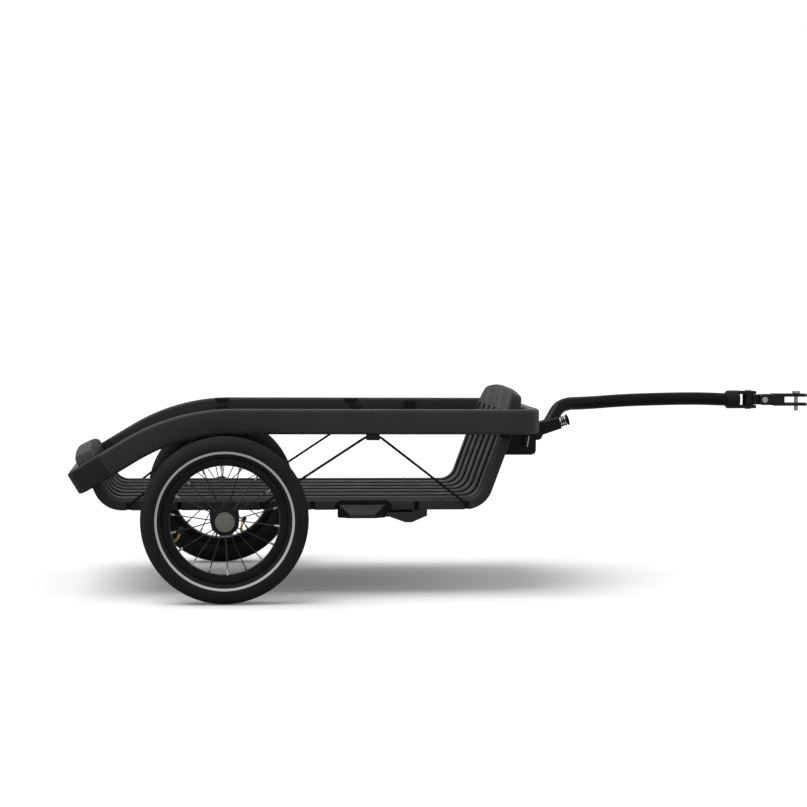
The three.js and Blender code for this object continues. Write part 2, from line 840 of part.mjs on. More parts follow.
function axleReceiver() {
  const top = deck_bottom - seat_gap;
  const outline = [[receiver_half_width, top], [-receiver_half_width, top]];
  for (let i = 0; i <= small_steps; i += 1) {
    const angle = Math.PI + (i / small_steps) * Math.PI;
    outline.push([receiver_half_width * Math.cos(angle), axle_z + receiver_half_width * Math.sin(angle)]);
  }
  const width = receiver_outer - receiver_inner;
  const middle = (receiver_outer + receiver_inner) / 2;
  const block = moved(sidePlate(outline.reverse(), width, 0), 0, middle, 0);
  const bore = moved(rod(axle_radius + seat_gap, width + 2 * cut_overrun, turned_steps), 0, middle, axle_z);
  return cutBy(block, bore);
}

function beamBolt() {
  const shank_top = beam_top;
  const head_bottom = beam_bottom - seat_gap - beam_bolt_head_height;
  return turned([
    [0, head_bottom],
    [beam_bolt_head_radius, head_bottom],
    [beam_bolt_head_radius, beam_bottom - seat_gap],
    [beam_bolt_radius, beam_bottom - seat_gap],
    [beam_bolt_radius, shank_top],
    [0, shank_top],
  ], small_steps).rotateX(Math.PI / 2);
}

for (const { word, sign } of sides) {
  addPiece(`axle_receiver_${word}`, onSide(axleReceiver(), sign), plastic_finish);
  addPiece(`beam_bolt_${word}`, moved(beamBolt(), 0, sign * beam_bolt_place, 0), steel_finish);
}

// Cord clips and cords
const clip_block_inner = rail_inner_y - clip_plate;
const cord_foot_y = deck_half_width - notch_depth + cord_radius + seat_gap;
const cord_turn_y = deck_half_width + cord_radius + seat_gap;
const channel_y = rail_centre_y;

// The underside of the rail where it has begun to bend down, on the chords that stand for the bend
function clipTop(x) {
  const bend_radius = rail_bend_radius - rail_height / 2;
  const run = Math.max(rail_bend_start - (x - clip_width / 2), 0);
  const chord_sag = run > 0 ? bend_radius * (1 - Math.cos(rail_slope / bend_steps / 2)) : 0;
  return rail_bottom - bend_radius + Math.sqrt(bend_radius ** 2 - run ** 2) - chord_sag - seat_gap;
}

function cordClip(x) {
  const clip_top = clipTop(x);
  const channel_z = clip_top - clip_drop / 2;
  const block_width = rail_outer_half_width - clip_edge - clip_block_inner;
  const block = new THREE.BoxGeometry(clip_width, block_width, clip_drop);
  block.translate(x, clip_block_inner + block_width / 2, channel_z);
  const plate_thickness = clip_plate - seat_gap;
  const plate = new THREE.BoxGeometry(clip_width, plate_thickness, clip_plate_rise);
  plate.translate(x, clip_block_inner + plate_thickness / 2, clip_top - clip_drop / 2 + clip_plate_rise / 2);
  const channel_length = clip_width + 2 * cut_overrun;
  const channel = new THREE.BoxGeometry(channel_length, clip_channel_width, clip_channel_height);
  channel.translate(x, channel_y, channel_z);
  return cutBy(joined(block, plate), channel);
}

function cord(points) {
  const stations = points.map((origin, i) => {
    const before = points[Math.max(i - 1, 0)];
    const after = points[Math.min(i + 1, points.length - 1)];
    const along = after.clone().sub(before).normalize();
    const side = new THREE.Vector3(0, 1, 0);
    const across = side.addScaledVector(along, -along.y).normalize();
    return { origin, across, up: new THREE.Vector3().crossVectors(across, along) };
  });
  const outline = [];
  for (let i = 0; i < cord_sides; i += 1) {
    const angle = (i / cord_sides) * 2 * Math.PI;
    outline.push(new THREE.Vector2(cord_radius * Math.cos(angle), cord_radius * Math.sin(angle)));
  }
  return sweep(outline, stations);
}

function middleCord() {
  const mouth = clip_width / 2 + cut_overrun;
  const channel_z = clipTop(middle_clip_place) - clip_drop / 2;
  return cord([
    new THREE.Vector3(notch_places[2], cord_foot_y, cord_foot_height),
    new THREE.Vector3(notch_places[2], cord_turn_y, cord_turn_height),
    new THREE.Vector3(middle_clip_place - mouth, channel_y, channel_z),
    new THREE.Vector3(middle_clip_place + mouth, channel_y, channel_z),
    new THREE.Vector3(notch_places[5], cord_turn_y, cord_turn_height),
    new THREE.Vector3(notch_places[5], cord_foot_y, cord_foot_height),
  ]);
}

function rearCord() {
  const channel_z = clipTop(rear_clip_place) - clip_drop / 2;
  return cord([
    new THREE.Vector3(notch_places[0], cord_foot_y, cord_foot_height),
    new THREE.Vector3(notch_places[0], cord_turn_y, cord_turn_height),
    new THREE.Vector3(rear_clip_place - clip_width / 2 - cut_overrun, channel_y, channel_z),
    new THREE.Vector3(rear_clip_place + clip_width / 2, channel_y, channel_z),
  ]);
}

for (const { word, sign } of sides) {
  addPiece(`cord_clip_middle_${word}`, onSide(cordClip(middle_clip_place), sign), plastic_finish);
  addPiece(`cord_clip_rear_${word}`, onSide(cordClip(rear_clip_place), sign), plastic_finish);
  addPiece(`side_cord_middle_${word}`, onSide(middleCord(), sign), cord_finish);
  addPiece(`side_cord_rear_${word}`, onSide(rearCord(), sign), cord_finish);
}

// Wheels, each with its quick-release axle, about an axis across the trailer
function tyreProfile() {
  const half = tyre_width / 2;
  const bead = rim_width / 2 - rim_wall - seat_gap;
  const seat = rim_well_radius + rim_wall;
  const height = wheel_radius - rim_flange_radius;
  const outside = [
    [seat, bead],
    [rim_flange_radius + seat_gap, bead],
    ...tyre_outside_shares.map(([up, out]) => [rim_flange_radius + height * up, half * out]),
    [wheel_radius, 0],
  ];
  const inside = [
    [wheel_radius - tyre_wall, 0],
    ...tyre_inside_shares.map(([up, out]) => [rim_flange_radius + height * up, half * out]),
    [seat, bead - tyre_wall],
  ];
  const mirror = ([r, y]) => [r, -y];
  const far_outside = outside.slice(0, -1).map(mirror).reverse();
  const far_inside = inside.slice(1).map(mirror).reverse();
  return [...outside, ...far_outside, ...far_inside, ...inside];
}

function rimProfile() {
  const half = rim_width / 2;
  const side = [
    [rim_inner_radius, half * rim_flat_share],
    [rim_inner_radius + rim_wall / 2, half],
    [rim_flange_radius, half],
    [rim_flange_radius, half - rim_wall],
    [rim_well_radius, half - rim_wall],
  ];
  return [...side, ...side.map(([r, y]) => [r, -y]).reverse()];
}

function spoke(foot, top, along) {
  const across = new THREE.Vector3(0, 1, 0).cross(along).normalize();
  const up = new THREE.Vector3().crossVectors(along, across);
  const ring = (origin, radius) => {
    const points = [];
    for (let i = 0; i < spoke_sides; i += 1) {
      const angle = (i / spoke_sides) * 2 * Math.PI;
      const point = origin.clone().addScaledVector(across, radius * Math.cos(angle));
      points.push(point.addScaledVector(up, radius * Math.sin(angle)));
    }
    return points;
  };
  const nipple_foot = top.clone().addScaledVector(along, -nipple_length);
  const neck = nipple_foot.clone().addScaledVector(along, nipple_radius - spoke_radius);
  return closedLoft([
    ring(foot, spoke_radius),
    ring(nipple_foot, spoke_radius),
    ring(neck, nipple_radius),
    ring(top, nipple_radius),
  ]);
}

function hubWithSpokes(spoke_phase) {
  const half = hub_width / 2;
  const seat = bearing_radius + seat_gap;
  const seat_depth = bearing_width + seat_gap;
  const side = [
    [hub_bore_radius, half - seat_depth],
    [seat, half - seat_depth],
    [seat, half],
    [hub_flange_radius - hub_edge, half],
    [hub_flange_radius, half - hub_edge],
    [hub_flange_radius, half - hub_flange_width],
    [hub_core_radius, half - 2 * hub_flange_width],
  ];
  const hub = closedRing([...side, ...side.map(([r, y]) => [r, -y]).reverse()], turned_steps);
  const spokes = [];
  for (let i = 0; i < spoke_count; i += 1) {
    const angle = spoke_phase + (i / spoke_count) * 2 * Math.PI;
    const outward = new THREE.Vector3(Math.cos(angle), 0, -Math.sin(angle));
    const flange_y = (i % 2 ? 1 : -1) * (half - hub_flange_width / 2);
    const foot = outward.clone().multiplyScalar(hub_flange_radius - hub_edge).setY(flange_y);
    const top = outward.clone().multiplyScalar(rim_bore - seat_gap - nipple_seat_gap);
    const along = top.clone().sub(foot).normalize();
    spokes.push(spoke(foot, top, along));
  }
  return joined(hub, ...spokes);
}

function bearing() {
  const inner = axle_radius + seat_gap;
  return closedRing([
    [inner, 0],
    [bearing_radius, 0],
    [bearing_radius, bearing_width],
    [inner, bearing_width],
  ], small_steps);
}

function valve(swing) {
  const foot = new THREE.Vector3(rim_bore - seat_gap, 0, 0);
  const knee = new THREE.Vector3(rim_bore - valve_knee_reach, 0, 0);
  const tip = new THREE.Vector3(rim_bore - valve_reach, valve_lean, swing);
  const bend = new THREE.QuadraticBezierCurve3(foot, knee, tip);
  const stem = tube(bend, valve_radius, cord_sides, deck_bend_steps);
  const lean = tip.clone().sub(knee).normalize();
  const cap_start = tip.clone().addScaledVector(lean, -weld_tolerance);
  const cap_end = tip.clone().addScaledVector(lean, valve_cap_length);
  const cap = tube(line(cap_start, cap_end), valve_cap_radius, cord_sides, 1);
  return joined(stem, cap);
}

function wheelAxle() {
  const collar_inner = receiver_outer + seat_gap;
  const collar_outer = hub_inner_y - seat_gap;
  const head_inner = hub_outer_y + seat_gap;
  const head_outer = head_inner + axle_head_width;
  const tip = receiver_outer - axle_reach;
  const chamfer = button_edge;
  return turned([
    [0, tip],
    [axle_radius - chamfer, tip],
    [axle_radius, tip + chamfer],
    [axle_radius, collar_inner],
    [axle_collar_radius, collar_inner],
    [axle_collar_radius, collar_outer],
    [axle_radius, collar_outer],
    [axle_radius, head_inner],
    [axle_head_radius, head_inner],
    [axle_head_radius, head_outer],
    [button_radius + seat_gap, head_outer],
    [button_radius + seat_gap, head_outer - button_pocket_depth],
    [0, head_outer - button_pocket_depth],
  ], turned_steps);
}

const button_floor = hub_outer_y + seat_gap + axle_head_width - button_pocket_depth;
const button_inner = button_floor + button_travel + seat_gap;

function pushButton() {
  return turned([
    [0, button_inner],
    [button_radius, button_inner],
    [button_radius, button_inner + button_thickness - button_edge],
    [button_radius - button_edge, button_inner + button_thickness],
    [0, button_inner + button_thickness],
  ], turned_steps);
}

for (const { word, sign } of sides) {
  const wheel = new THREE.Group();
  wheel.position.set(0, sign * half_track, axle_z);
  trailer.add(wheel);
  addPiece(`tyre_${word}`, closedRing(tyreProfile(), ring_steps), tyre_finish, wheel);
  addPiece(`rim_${word}`, closedRing(rimProfile(), ring_steps), rim_finish, wheel);
  addPiece(`hub_${word}`, onSide(hubWithSpokes(spoke_phases[word]), sign), black_steel_finish, wheel);
  const bearing_y = sign * (hub_width / 2 - bearing_width);
  const outer_bearing = moved(onSide(bearing(), sign), 0, bearing_y, 0);
  const inner_bearing = moved(onSide(bearing(), -sign), 0, -bearing_y, 0);
  addPiece(`bearing_outer_${word}`, outer_bearing, steel_finish, wheel);
  addPiece(`bearing_inner_${word}`, inner_bearing, steel_finish, wheel);
  const stem = onSide(valve(sign * valve_swing), sign).rotateY(valve_angles[word]);
  addPiece(`valve_${word}`, stem, brass_finish, wheel);
  addPiece(`wheel_axle_${word}`, moved(onSide(wheelAxle(), sign), 0, 0, axle_z), steel_finish);
  addPiece(`release_button_${word}`, moved(onSide(pushButton(), sign), 0, 0, axle_z), cap_finish);
}

// Parking stand
function standHousing() {
  const top = deck_bottom - seat_gap;
  const outline = [
    [stand_housing_rear, top],
    [stand_housing_rear, stand_housing_corner_height],
    [stand_housing_low_x - stand_housing_flat, stand_housing_low],
    [stand_housing_low_x + stand_housing_flat, stand_housing_low],
    [stand_housing_front, stand_housing_corner_height],
    [stand_housing_front, top],
  ];
  const outer = deck_half_width;
  const width = outer - stand_housing_inner;
  const block = moved(sidePlate(outline, width, 0), 0, (outer + stand_housing_inner) / 2, 0);
  const leg_room = 2 * seat_gap + stand_leg_thickness;
  const swing = stand_leg_height / 2 + stand_swing_gap;
  const slot_length = stand_axis_x + swing - stand_housing_rear + cut_overrun;
  const slot = new THREE.BoxGeometry(slot_length, leg_room, 2 * stand_housing_corner_height);
  slot.translate(
    stand_housing_rear - cut_overrun + slot_length / 2,
    stand_leg_inner + stand_leg_thickness / 2,
    stand_housing_corner_height,
  );
  const bore = rod(stand_shaft_radius + seat_gap, width + 2 * cut_overrun, turned_steps);
  bore.translate(stand_axis_x, (outer + stand_housing_inner) / 2, stand_axis_z);
  return cutBy(block, slot, bore);
}

function standLeg() {
  const radius = stand_leg_height / 2;
  const reach = stand_leg_length - stand_foot_length - seat_gap;
  const outline = [[-reach, -radius], [0, -radius]];
  for (let i = 1; i < small_steps; i += 1) {
    const angle = -Math.PI / 2 + (i / small_steps) * Math.PI;
    outline.push([radius * Math.cos(angle), radius * Math.sin(angle)]);
  }
  outline.push([0, radius], [-reach, radius]);
  const leg = sidePlate(outline, stand_leg_thickness, 0);
  const bore = rod(stand_shaft_radius + seat_gap, stand_leg_thickness + 2 * cut_overrun, turned_steps);
  const middle = stand_leg_inner + stand_leg_thickness / 2;
  return moved(cutBy(leg, bore), stand_axis_x, middle, stand_axis_z);
}

// The foot: wide and tall against the deck, sloping to a low front face
function standFoot() {
  const rear = stand_axis_x - stand_leg_length;
  const front = rear + stand_foot_length;
  const ring = (y, inset, top) => [
    new THREE.Vector3(rear + inset, y, stand_foot_bottom),
    new THREE.Vector3(front - inset, y, stand_foot_bottom),
    new THREE.Vector3(front - inset, y, top),
    new THREE.Vector3(rear + inset, y, top),
  ];
  const under_deck = deck_bottom - seat_gap;
  const step_y = deck_half_width - notch_depth + seat_gap;
  const body = closedLoft([
    ring(stand_foot_inner, 0, under_deck),
    ring(step_y, 0, under_deck),
  ]);
  const nose = closedLoft([
    ring(step_y, 0, stand_foot_top),
    ring(stand_foot_outer, stand_foot_slope, stand_foot_bottom + stand_foot_front_height),
  ]);
  return joined(body, nose);
}

for (const { word, sign } of sides) {
  addPiece(`stand_housing_${word}`, onSide(standHousing(), sign), plastic_finish);
  addPiece(`stand_leg_${word}`, onSide(standLeg(), sign), plastic_finish);
  addPiece(`stand_foot_${word}`, onSide(standFoot(), sign), plastic_finish);
}
const shaft_half = deck_half_width - seat_gap;
addPiece(
  'stand_shaft',
  moved(rod(stand_shaft_radius, 2 * shaft_half, turned_steps), stand_axis_x, 0, stand_axis_z),
  steel_finish,
);

// Tow bracket, open below so that the arm can fold down through it, and the fold pin
function wallOuterX(z) {
  const inner_x = deck_front_corner + (z - deck_top) * Math.tan(front_wall_lean);
  return inner_x + deck_depth / Math.cos(front_wall_lean);
}

function towBracket() {
  const top = rail_bottom - seat_gap;
  const lug_top = fold_axis_z + fold_lug_radius;
  const outline = [[wallOuterX(bracket_bottom) + seat_gap, bracket_bottom]];
  for (let i = 0; i <= round_steps; i += 1) {
    const angle = -Math.PI / 2 + (i / round_steps) * (Math.PI / 2);
    outline.push([
      bracket_front - bracket_corner + bracket_corner * Math.cos(angle),
      bracket_bottom + bracket_corner + bracket_corner * Math.sin(angle),
    ]);
  }
  outline.push([bracket_front, fold_axis_z - fold_lug_radius]);
  for (let i = 0; i <= small_steps; i += 1) {
    const angle = -Math.PI / 2 + (i / small_steps) * Math.PI;
    outline.push([
      fold_axis_x + fold_lug_radius * Math.cos(angle),
      fold_axis_z + fold_lug_radius * Math.sin(angle),
    ]);
  }
  outline.push(
    [rail_front + seat_gap, lug_top],
    [rail_front - rail_thickness - bracket_cheek, top],
    [wallOuterX(top) + seat_gap, top],
  );
  const block = sidePlate(outline, 2 * bracket_half_width, 0);
  const mouth_half = bracket_half_width - bracket_cheek;
  const mouth_rear = rail_front - rail_thickness;
  const mouth_length = fold_axis_x + fold_lug_radius - mouth_rear + cut_overrun;
  const mouth_height = lug_top - bracket_bottom + 2 * cut_overrun;
  const mouth = new THREE.BoxGeometry(mouth_length, 2 * mouth_half, mouth_height);
  mouth.translate(mouth_rear + mouth_length / 2, 0, bracket_bottom - cut_overrun + mouth_height / 2);
  const bore = rod(fold_pin_radius + seat_gap, 2 * bracket_half_width + 2 * cut_overrun, turned_steps);
  bore.translate(fold_axis_x, 0, fold_axis_z);
  return cutBy(block, mouth, bore);
}

addPiece('tow_bracket', towBracket(), plastic_finish);

function foldPin() {
  const half = bracket_half_width + seat_gap;
  return turned([
    [0, -half - fold_pin_head],
    [fold_pin_head_radius, -half - fold_pin_head],
    [fold_pin_head_radius, -half],
    [fold_pin_radius, -half],
    [fold_pin_radius, half],
    [fold_pin_head_radius, half],
    [fold_pin_head_radius, half + fold_pin_head],
    [0, half + fold_pin_head],
  ], turned_steps).translate(fold_axis_x, 0, fold_axis_z);
}

addPiece('fold_pin', foldPin(), steel_finish);

// Arm socket, in the fold axis's own frame, rising along the lock pin
const socket_axis = new THREE.Vector3(Math.cos(socket_rise), 0, Math.sin(socket_rise));
const socket_up = new THREE.Vector3(-Math.sin(socket_rise), 0, Math.cos(socket_rise));
const fold_axis_point = new THREE.Vector3(fold_axis_x, 0, fold_axis_z);
const socket_root = fold_axis_point.addScaledVector(socket_up, socket_centre_lift);
const socket_nose = socket_root.clone().addScaledVector(socket_axis, socket_length);

const lock_frame = new THREE.Matrix4().makeBasis(
  socket_up,
  socket_axis,
  new THREE.Vector3().crossVectors(socket_up, socket_axis),
).setPosition(socket_nose);

// Everything under the flat seat that the arm tube stands on, above the lock pin
function underSeat(lift) {
  const drop = 2 * socket_root_height;
  const seat_block = new THREE.BoxGeometry(drop, 2 * socket_length, 4 * socket_half_width);
  return seat_block.translate(lift - drop / 2, -socket_length / 2, 0).applyMatrix4(lock_frame);
}

function armCurve() {
  return new THREE.CatmullRomCurve3(arm_path_shares.map(([along, left, up]) => new THREE.Vector3(
    arm_start_x + along * arm_length,
    left * arm_offset,
    arm_start_z + up * arm_rise,
  )), false, 'centripetal');
}

function onSocket(along, up) {
  const p = socket_root.clone().addScaledVector(socket_axis, along).addScaledVector(socket_up, up);
  return [p.x, p.z];
}

function armSocket() {
  const root = socket_root_height / 2;
  const nose = socket_nose_height / 2;
  const body = sidePlate([
    onSocket(0, -root),
    onSocket(socket_length, -nose),
    onSocket(socket_length, nose),
    onSocket(0, root),
  ], 2 * socket_half_width, socket_edge);
  const eye = rod(fold_lug_radius - seat_gap, 2 * socket_half_width, turned_steps);
  eye.translate(fold_axis_x, 0, fold_axis_z);
  const bore = rod(fold_pin_radius + seat_gap, 2 * socket_half_width + 2 * cut_overrun, turned_steps);
  bore.translate(fold_axis_x, 0, fold_axis_z);
  const tube_room = tube(armCurve(), arm_tube_radius + seat_gap, arm_tube_sides, arm_tube_steps);
  const tube_hole = cutBy(tube_room, underSeat(tube_seat_lift - seat_gap));
  const pin_length = lock_pin_inside + cut_overrun;
  const pin_hole_start = socket_nose.clone().addScaledVector(socket_axis, -pin_length);
  const pin_hole_end = socket_nose.clone().addScaledVector(socket_axis, cut_overrun);
  const pin_hole = tube(line(pin_hole_start, pin_hole_end), lock_pin_radius + seat_gap, small_steps, 1);
  return cutBy(joined(body, eye), bore, tube_hole, pin_hole);
}

addPiece('arm_socket', armSocket(), plastic_finish);

// Arm tube, standing on its seat in the socket
function armTube() {
  const curve = armCurve();
  const outer = tube(curve, arm_tube_radius, arm_tube_sides, arm_tube_steps);
  const mouth_start = arm_end.clone().setX(arm_end.x - arm_tube_wall);
  const mouth_end = arm_end.clone().setX(arm_end.x + cut_overrun);
  const bore_radius = arm_tube_radius - arm_tube_wall;
  const bore = tube(curve, bore_radius, cord_sides, arm_tube_steps);
  const bore_mouth = tube(line(mouth_start, mouth_end), bore_radius - weld_tolerance, cord_sides, 1);
  return cutBy(outer, bore, bore_mouth, underSeat(tube_seat_lift));
}

// Lock pin, spring and knob
function alongLock(distance) {
  return socket_nose.clone().addScaledVector(socket_axis, distance);
}

const spring_start = seat_gap + spring_wire_radius;
const spring_rise = (spring_length - 2 * spring_start) / spring_turns;

function springPoint(turn) {
  const angle = turn * 2 * Math.PI;
  return new THREE.Vector3(
    spring_radius * Math.cos(angle),
    spring_start + turn * spring_rise,
    spring_radius * Math.sin(angle),
  );
}

function lockSpring() {
  const steps = spring_turns * spring_turn_steps;
  const stations = [];
  for (let i = 0; i <= steps; i += 1) {
    const turn = i / spring_turn_steps;
    const angle = turn * 2 * Math.PI;
    stations.push({
      origin: springPoint(turn),
      across: new THREE.Vector3(Math.cos(angle), 0, Math.sin(angle)),
      up: new THREE.Vector3(0, 1, 0),
    });
  }
  const outline = [];
  for (let i = 0; i < spring_wire_sides; i += 1) {
    const angle = (i / spring_wire_sides) * 2 * Math.PI;
    outline.push(new THREE.Vector2(
      spring_wire_radius * Math.cos(angle),
      spring_wire_radius * Math.sin(angle),
    ));
  }
  return sweep(outline, stations).applyMatrix4(lock_frame);
}

function leastCoilGap() {
  let least = Infinity;
  for (let i = 0; i <= spring_turns * spring_turn_steps; i += 1) {
    for (let j = i + spring_turn_steps / 2; j <= spring_turns * spring_turn_steps; j += 1) {
      const distance = springPoint(i / spring_turn_steps).distanceTo(springPoint(j / spring_turn_steps));
      least = Math.min(least, distance - 2 * spring_wire_radius);
    }
  }
  return least;
}

console.log(`least gap between the lock spring's turns: ${leastCoilGap().toFixed(2)} mm`);

function lockPin() {
  const start = alongLock(-lock_pin_inside + lock_travel + seat_gap);
  return tube(line(start, alongLock(spring_length - seat_gap)), lock_pin_radius, small_steps, 1);
}

function lockKnob() {
  const knob = turned([
    [0, spring_length],
    [knob_radius - button_edge, spring_length],
    [knob_radius, spring_length + button_edge],
    [knob_radius, spring_length + knob_thickness - button_edge],
    [knob_radius - button_edge, spring_length + knob_thickness],
    [0, spring_length + knob_thickness],
  ], turned_steps);
  return knob.applyMatrix4(lock_frame);
}

addPiece('lock_pin', lockPin(), steel_finish);
addPiece('lock_spring', lockSpring(), black_steel_finish);
addPiece('lock_knob', lockKnob(), plastic_finish);

// Hitch, level and straight ahead from the end of the arm
function ahead(reach) {
  return arm_end.x + reach;
}

function block(x0, x1, half_y, z0, z1) {
  const box = new THREE.BoxGeometry(x1 - x0, 2 * half_y, z1 - z0);
  return box.translate((x0 + x1) / 2, arm_end.y, (z0 + z1) / 2);
}

function couplingHousing() {
  const half_gap = fork_gap / 2;
  const body = turned([
    [0, 0],
    [housing_radius - housing_edge, 0],
    [housing_radius, housing_edge],
    [housing_radius, housing_length],
    [0, housing_length],
  ], turned_steps).rotateZ(-Math.PI / 2).translate(ahead(seat_gap), arm_end.y, arm_end.z);
  const fork_start = ahead(seat_gap) + housing_length - housing_edge;
  const fork_end = fork_start + fork_length;
  const cheeks = [1, -1].map((end) => {
    const low = arm_end.z + (end > 0 ? half_gap : -half_gap - fork_cheek);
    return block(fork_start, fork_end, fork_half_width, low, low + fork_cheek);
  });
  const fork_height = fork_gap + 2 * fork_cheek;
  const bore = uprightRod(knuckle_pin_radius + seat_gap, fork_height + 2 * cut_overrun, small_steps);
  bore.translate(ahead(yaw_axis_reach), arm_end.y, arm_end.z);
  return cutBy(joined(body, ...cheeks), bore);
}

function knucklePin(vertical) {
  const half = fork_gap / 2 + fork_cheek;
  const pin = turned([
    [0, -half - knuckle_pin_head],
    [knuckle_pin_radius + knuckle_pin_head, -half - knuckle_pin_head],
    [knuckle_pin_radius + knuckle_pin_head, -half - seat_gap],
    [knuckle_pin_radius, -half - seat_gap],
    [knuckle_pin_radius, half + seat_gap],
    [knuckle_pin_radius + knuckle_pin_head, half + seat_gap],
    [knuckle_pin_radius + knuckle_pin_head, half + knuckle_pin_head],
    [0, half + knuckle_pin_head],
  ], small_steps);
  return vertical ? pin.rotateX(Math.PI / 2) : pin;
}

function knuckle() {
  const yaw_x = ahead(yaw_axis_reach);
  const pitch_x = ahead(pitch_axis_reach);
  const eye = uprightRod(knuckle_radius, knuckle_height, turned_steps);
  eye.translate(yaw_x, arm_end.y, arm_end.z);
  const tongue_end = rod(knuckle_radius, knuckle_tongue, turned_steps);
  tongue_end.translate(pitch_x, arm_end.y, arm_end.z);
  const bar_half = knuckle_radius - knuckle_bar_step;
  const bar = block(yaw_x, pitch_x, knuckle_tongue / 2, arm_end.z - bar_half, arm_end.z + bar_half);
  const yaw_bore = uprightRod(knuckle_pin_radius + seat_gap, knuckle_height + 2 * cut_overrun, small_steps);
  yaw_bore.translate(yaw_x, arm_end.y, arm_end.z);
  const pitch_bore = rod(knuckle_pin_radius + seat_gap, knuckle_tongue + 2 * cut_overrun, small_steps);
  pitch_bore.translate(pitch_x, arm_end.y, arm_end.z);
  return cutBy(joined(eye, tongue_end, bar), yaw_bore, pitch_bore);
}

function clevis() {
  const pitch_x = ahead(pitch_axis_reach);
  const body_x = ahead(clevis_body_reach);
  const inner = knuckle_tongue / 2 + seat_gap;
  const outer = fork_gap / 2 + fork_cheek;
  const body_end = body_x + clevis_body_length;
  const body_low = arm_end.z - clevis_half_height;
  const body = block(body_x, body_end, outer, body_low, arm_end.z + clevis_half_height);
  const cheeks = [1, -1].map((side) => {
    const height = clevis_cheek_half_height;
    const nose = clevis_cheek_nose_shares.map(([back, up]) => [pitch_x - height * back, height * up]);
    const cheek = sidePlate([
      ...nose.map(([x, z]) => [x, arm_end.z - z]),
      [body_x + cut_overrun, arm_end.z - height],
      [body_x + cut_overrun, arm_end.z + height],
      ...nose.map(([x, z]) => [x, arm_end.z + z]).reverse(),
    ], outer - inner, 0);
    return moved(cheek, 0, arm_end.y + side * (inner + outer) / 2, 0);
  });
  const arm_start = body_end - cut_overrun;
  const arms = [1, -1].map((end) => {
    const low = arm_end.z + (end > 0 ? clevis_mouth_gap / 2 : -clevis_mouth_gap / 2 - clevis_cheek);
    return block(arm_start, arm_start + clevis_arm_length, fork_half_width, low, low + clevis_cheek);
  });
  const pitch_bore = rod(knuckle_pin_radius + seat_gap, 2 * outer + 2 * cut_overrun, small_steps);
  pitch_bore.translate(pitch_x, arm_end.y, arm_end.z);
  const bore_length = 2 * clevis_half_height + 2 * cut_overrun;
  const pin_bore = uprightRod(hitch_pin_radius + seat_gap, bore_length, small_steps);
  pin_bore.translate(ahead(hitch_pin_reach), arm_end.y, arm_end.z);
  return cutBy(joined(body, ...cheeks, ...arms), pitch_bore, pin_bore);
}

function hitchPin() {
  const top = clevis_mouth_gap / 2 + clevis_cheek + seat_gap;
  const pin = turned([
    [0, -top - hitch_pin_tail],
    [hitch_pin_radius - button_edge, -top - hitch_pin_tail],
    [hitch_pin_radius, -top - hitch_pin_tail + button_edge],
    [hitch_pin_radius, top],
    [hitch_pin_head_radius, top],
    [hitch_pin_head_radius, top + hitch_pin_head],
    [0, top + hitch_pin_head],
  ], small_steps);
  return pin.rotateX(Math.PI / 2).translate(ahead(hitch_pin_reach), arm_end.y, arm_end.z);
}

addPiece('arm_tube', armTube(), gloss_finish);
addPiece('coupling_housing', couplingHousing(), plastic_finish);
addPiece('yaw_pin', moved(knucklePin(true), ahead(yaw_axis_reach), arm_end.y, arm_end.z), steel_finish);
addPiece('hitch_knuckle', knuckle(), black_steel_finish);
addPiece('pitch_pin', moved(knucklePin(false), ahead(pitch_axis_reach), arm_end.y, arm_end.z), steel_finish);
addPiece('hitch_clevis', clevis(), black_steel_finish);
addPiece('hitch_pin', hitchPin(), steel_finish);

// The origin stands on the ground under the middle of the trailer's box
const extent = new THREE.Box3().setFromObject(trailer, true);
trailer.position.x = -(extent.min.x + extent.max.x) / 2;
console.log(`axle at X ${trailer.position.x.toFixed(3)}`);

export default trailer;
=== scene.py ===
"""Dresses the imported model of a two-wheeled cargo bicycle trailer.

Lengths are millimetres along the model's own axes, with X counted from the wheels' axle.
"""
import json
import math

import bmesh
import bpy
from mathutils import Matrix, Vector

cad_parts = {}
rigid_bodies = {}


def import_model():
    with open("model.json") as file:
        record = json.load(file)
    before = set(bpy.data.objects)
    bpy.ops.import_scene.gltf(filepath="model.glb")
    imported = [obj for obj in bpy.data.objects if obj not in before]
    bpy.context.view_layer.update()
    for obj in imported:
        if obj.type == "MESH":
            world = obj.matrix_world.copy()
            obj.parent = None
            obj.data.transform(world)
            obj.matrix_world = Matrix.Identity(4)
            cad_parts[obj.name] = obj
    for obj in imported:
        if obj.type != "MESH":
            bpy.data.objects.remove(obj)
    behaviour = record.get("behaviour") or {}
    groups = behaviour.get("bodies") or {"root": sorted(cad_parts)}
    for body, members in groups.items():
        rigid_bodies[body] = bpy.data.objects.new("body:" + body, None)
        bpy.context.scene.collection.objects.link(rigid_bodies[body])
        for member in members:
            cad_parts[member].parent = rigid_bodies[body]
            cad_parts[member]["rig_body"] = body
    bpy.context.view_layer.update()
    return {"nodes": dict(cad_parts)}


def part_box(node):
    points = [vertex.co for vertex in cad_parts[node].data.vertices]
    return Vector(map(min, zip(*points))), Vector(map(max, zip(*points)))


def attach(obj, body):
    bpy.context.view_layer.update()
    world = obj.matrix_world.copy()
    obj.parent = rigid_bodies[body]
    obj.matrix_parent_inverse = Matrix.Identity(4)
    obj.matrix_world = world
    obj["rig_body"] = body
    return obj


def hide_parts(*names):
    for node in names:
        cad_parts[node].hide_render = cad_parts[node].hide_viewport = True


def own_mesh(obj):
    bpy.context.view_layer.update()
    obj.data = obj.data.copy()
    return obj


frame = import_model()
nodes = frame["nodes"]

MM = 0.001
AXLE_X = sum(corner.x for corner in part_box("tyre_right")) / 2 / MM
SIDES = {"left": 1, "right": -1}
ACROSS = Vector((0, 1, 0))
UP = Vector((0, 0, 1))


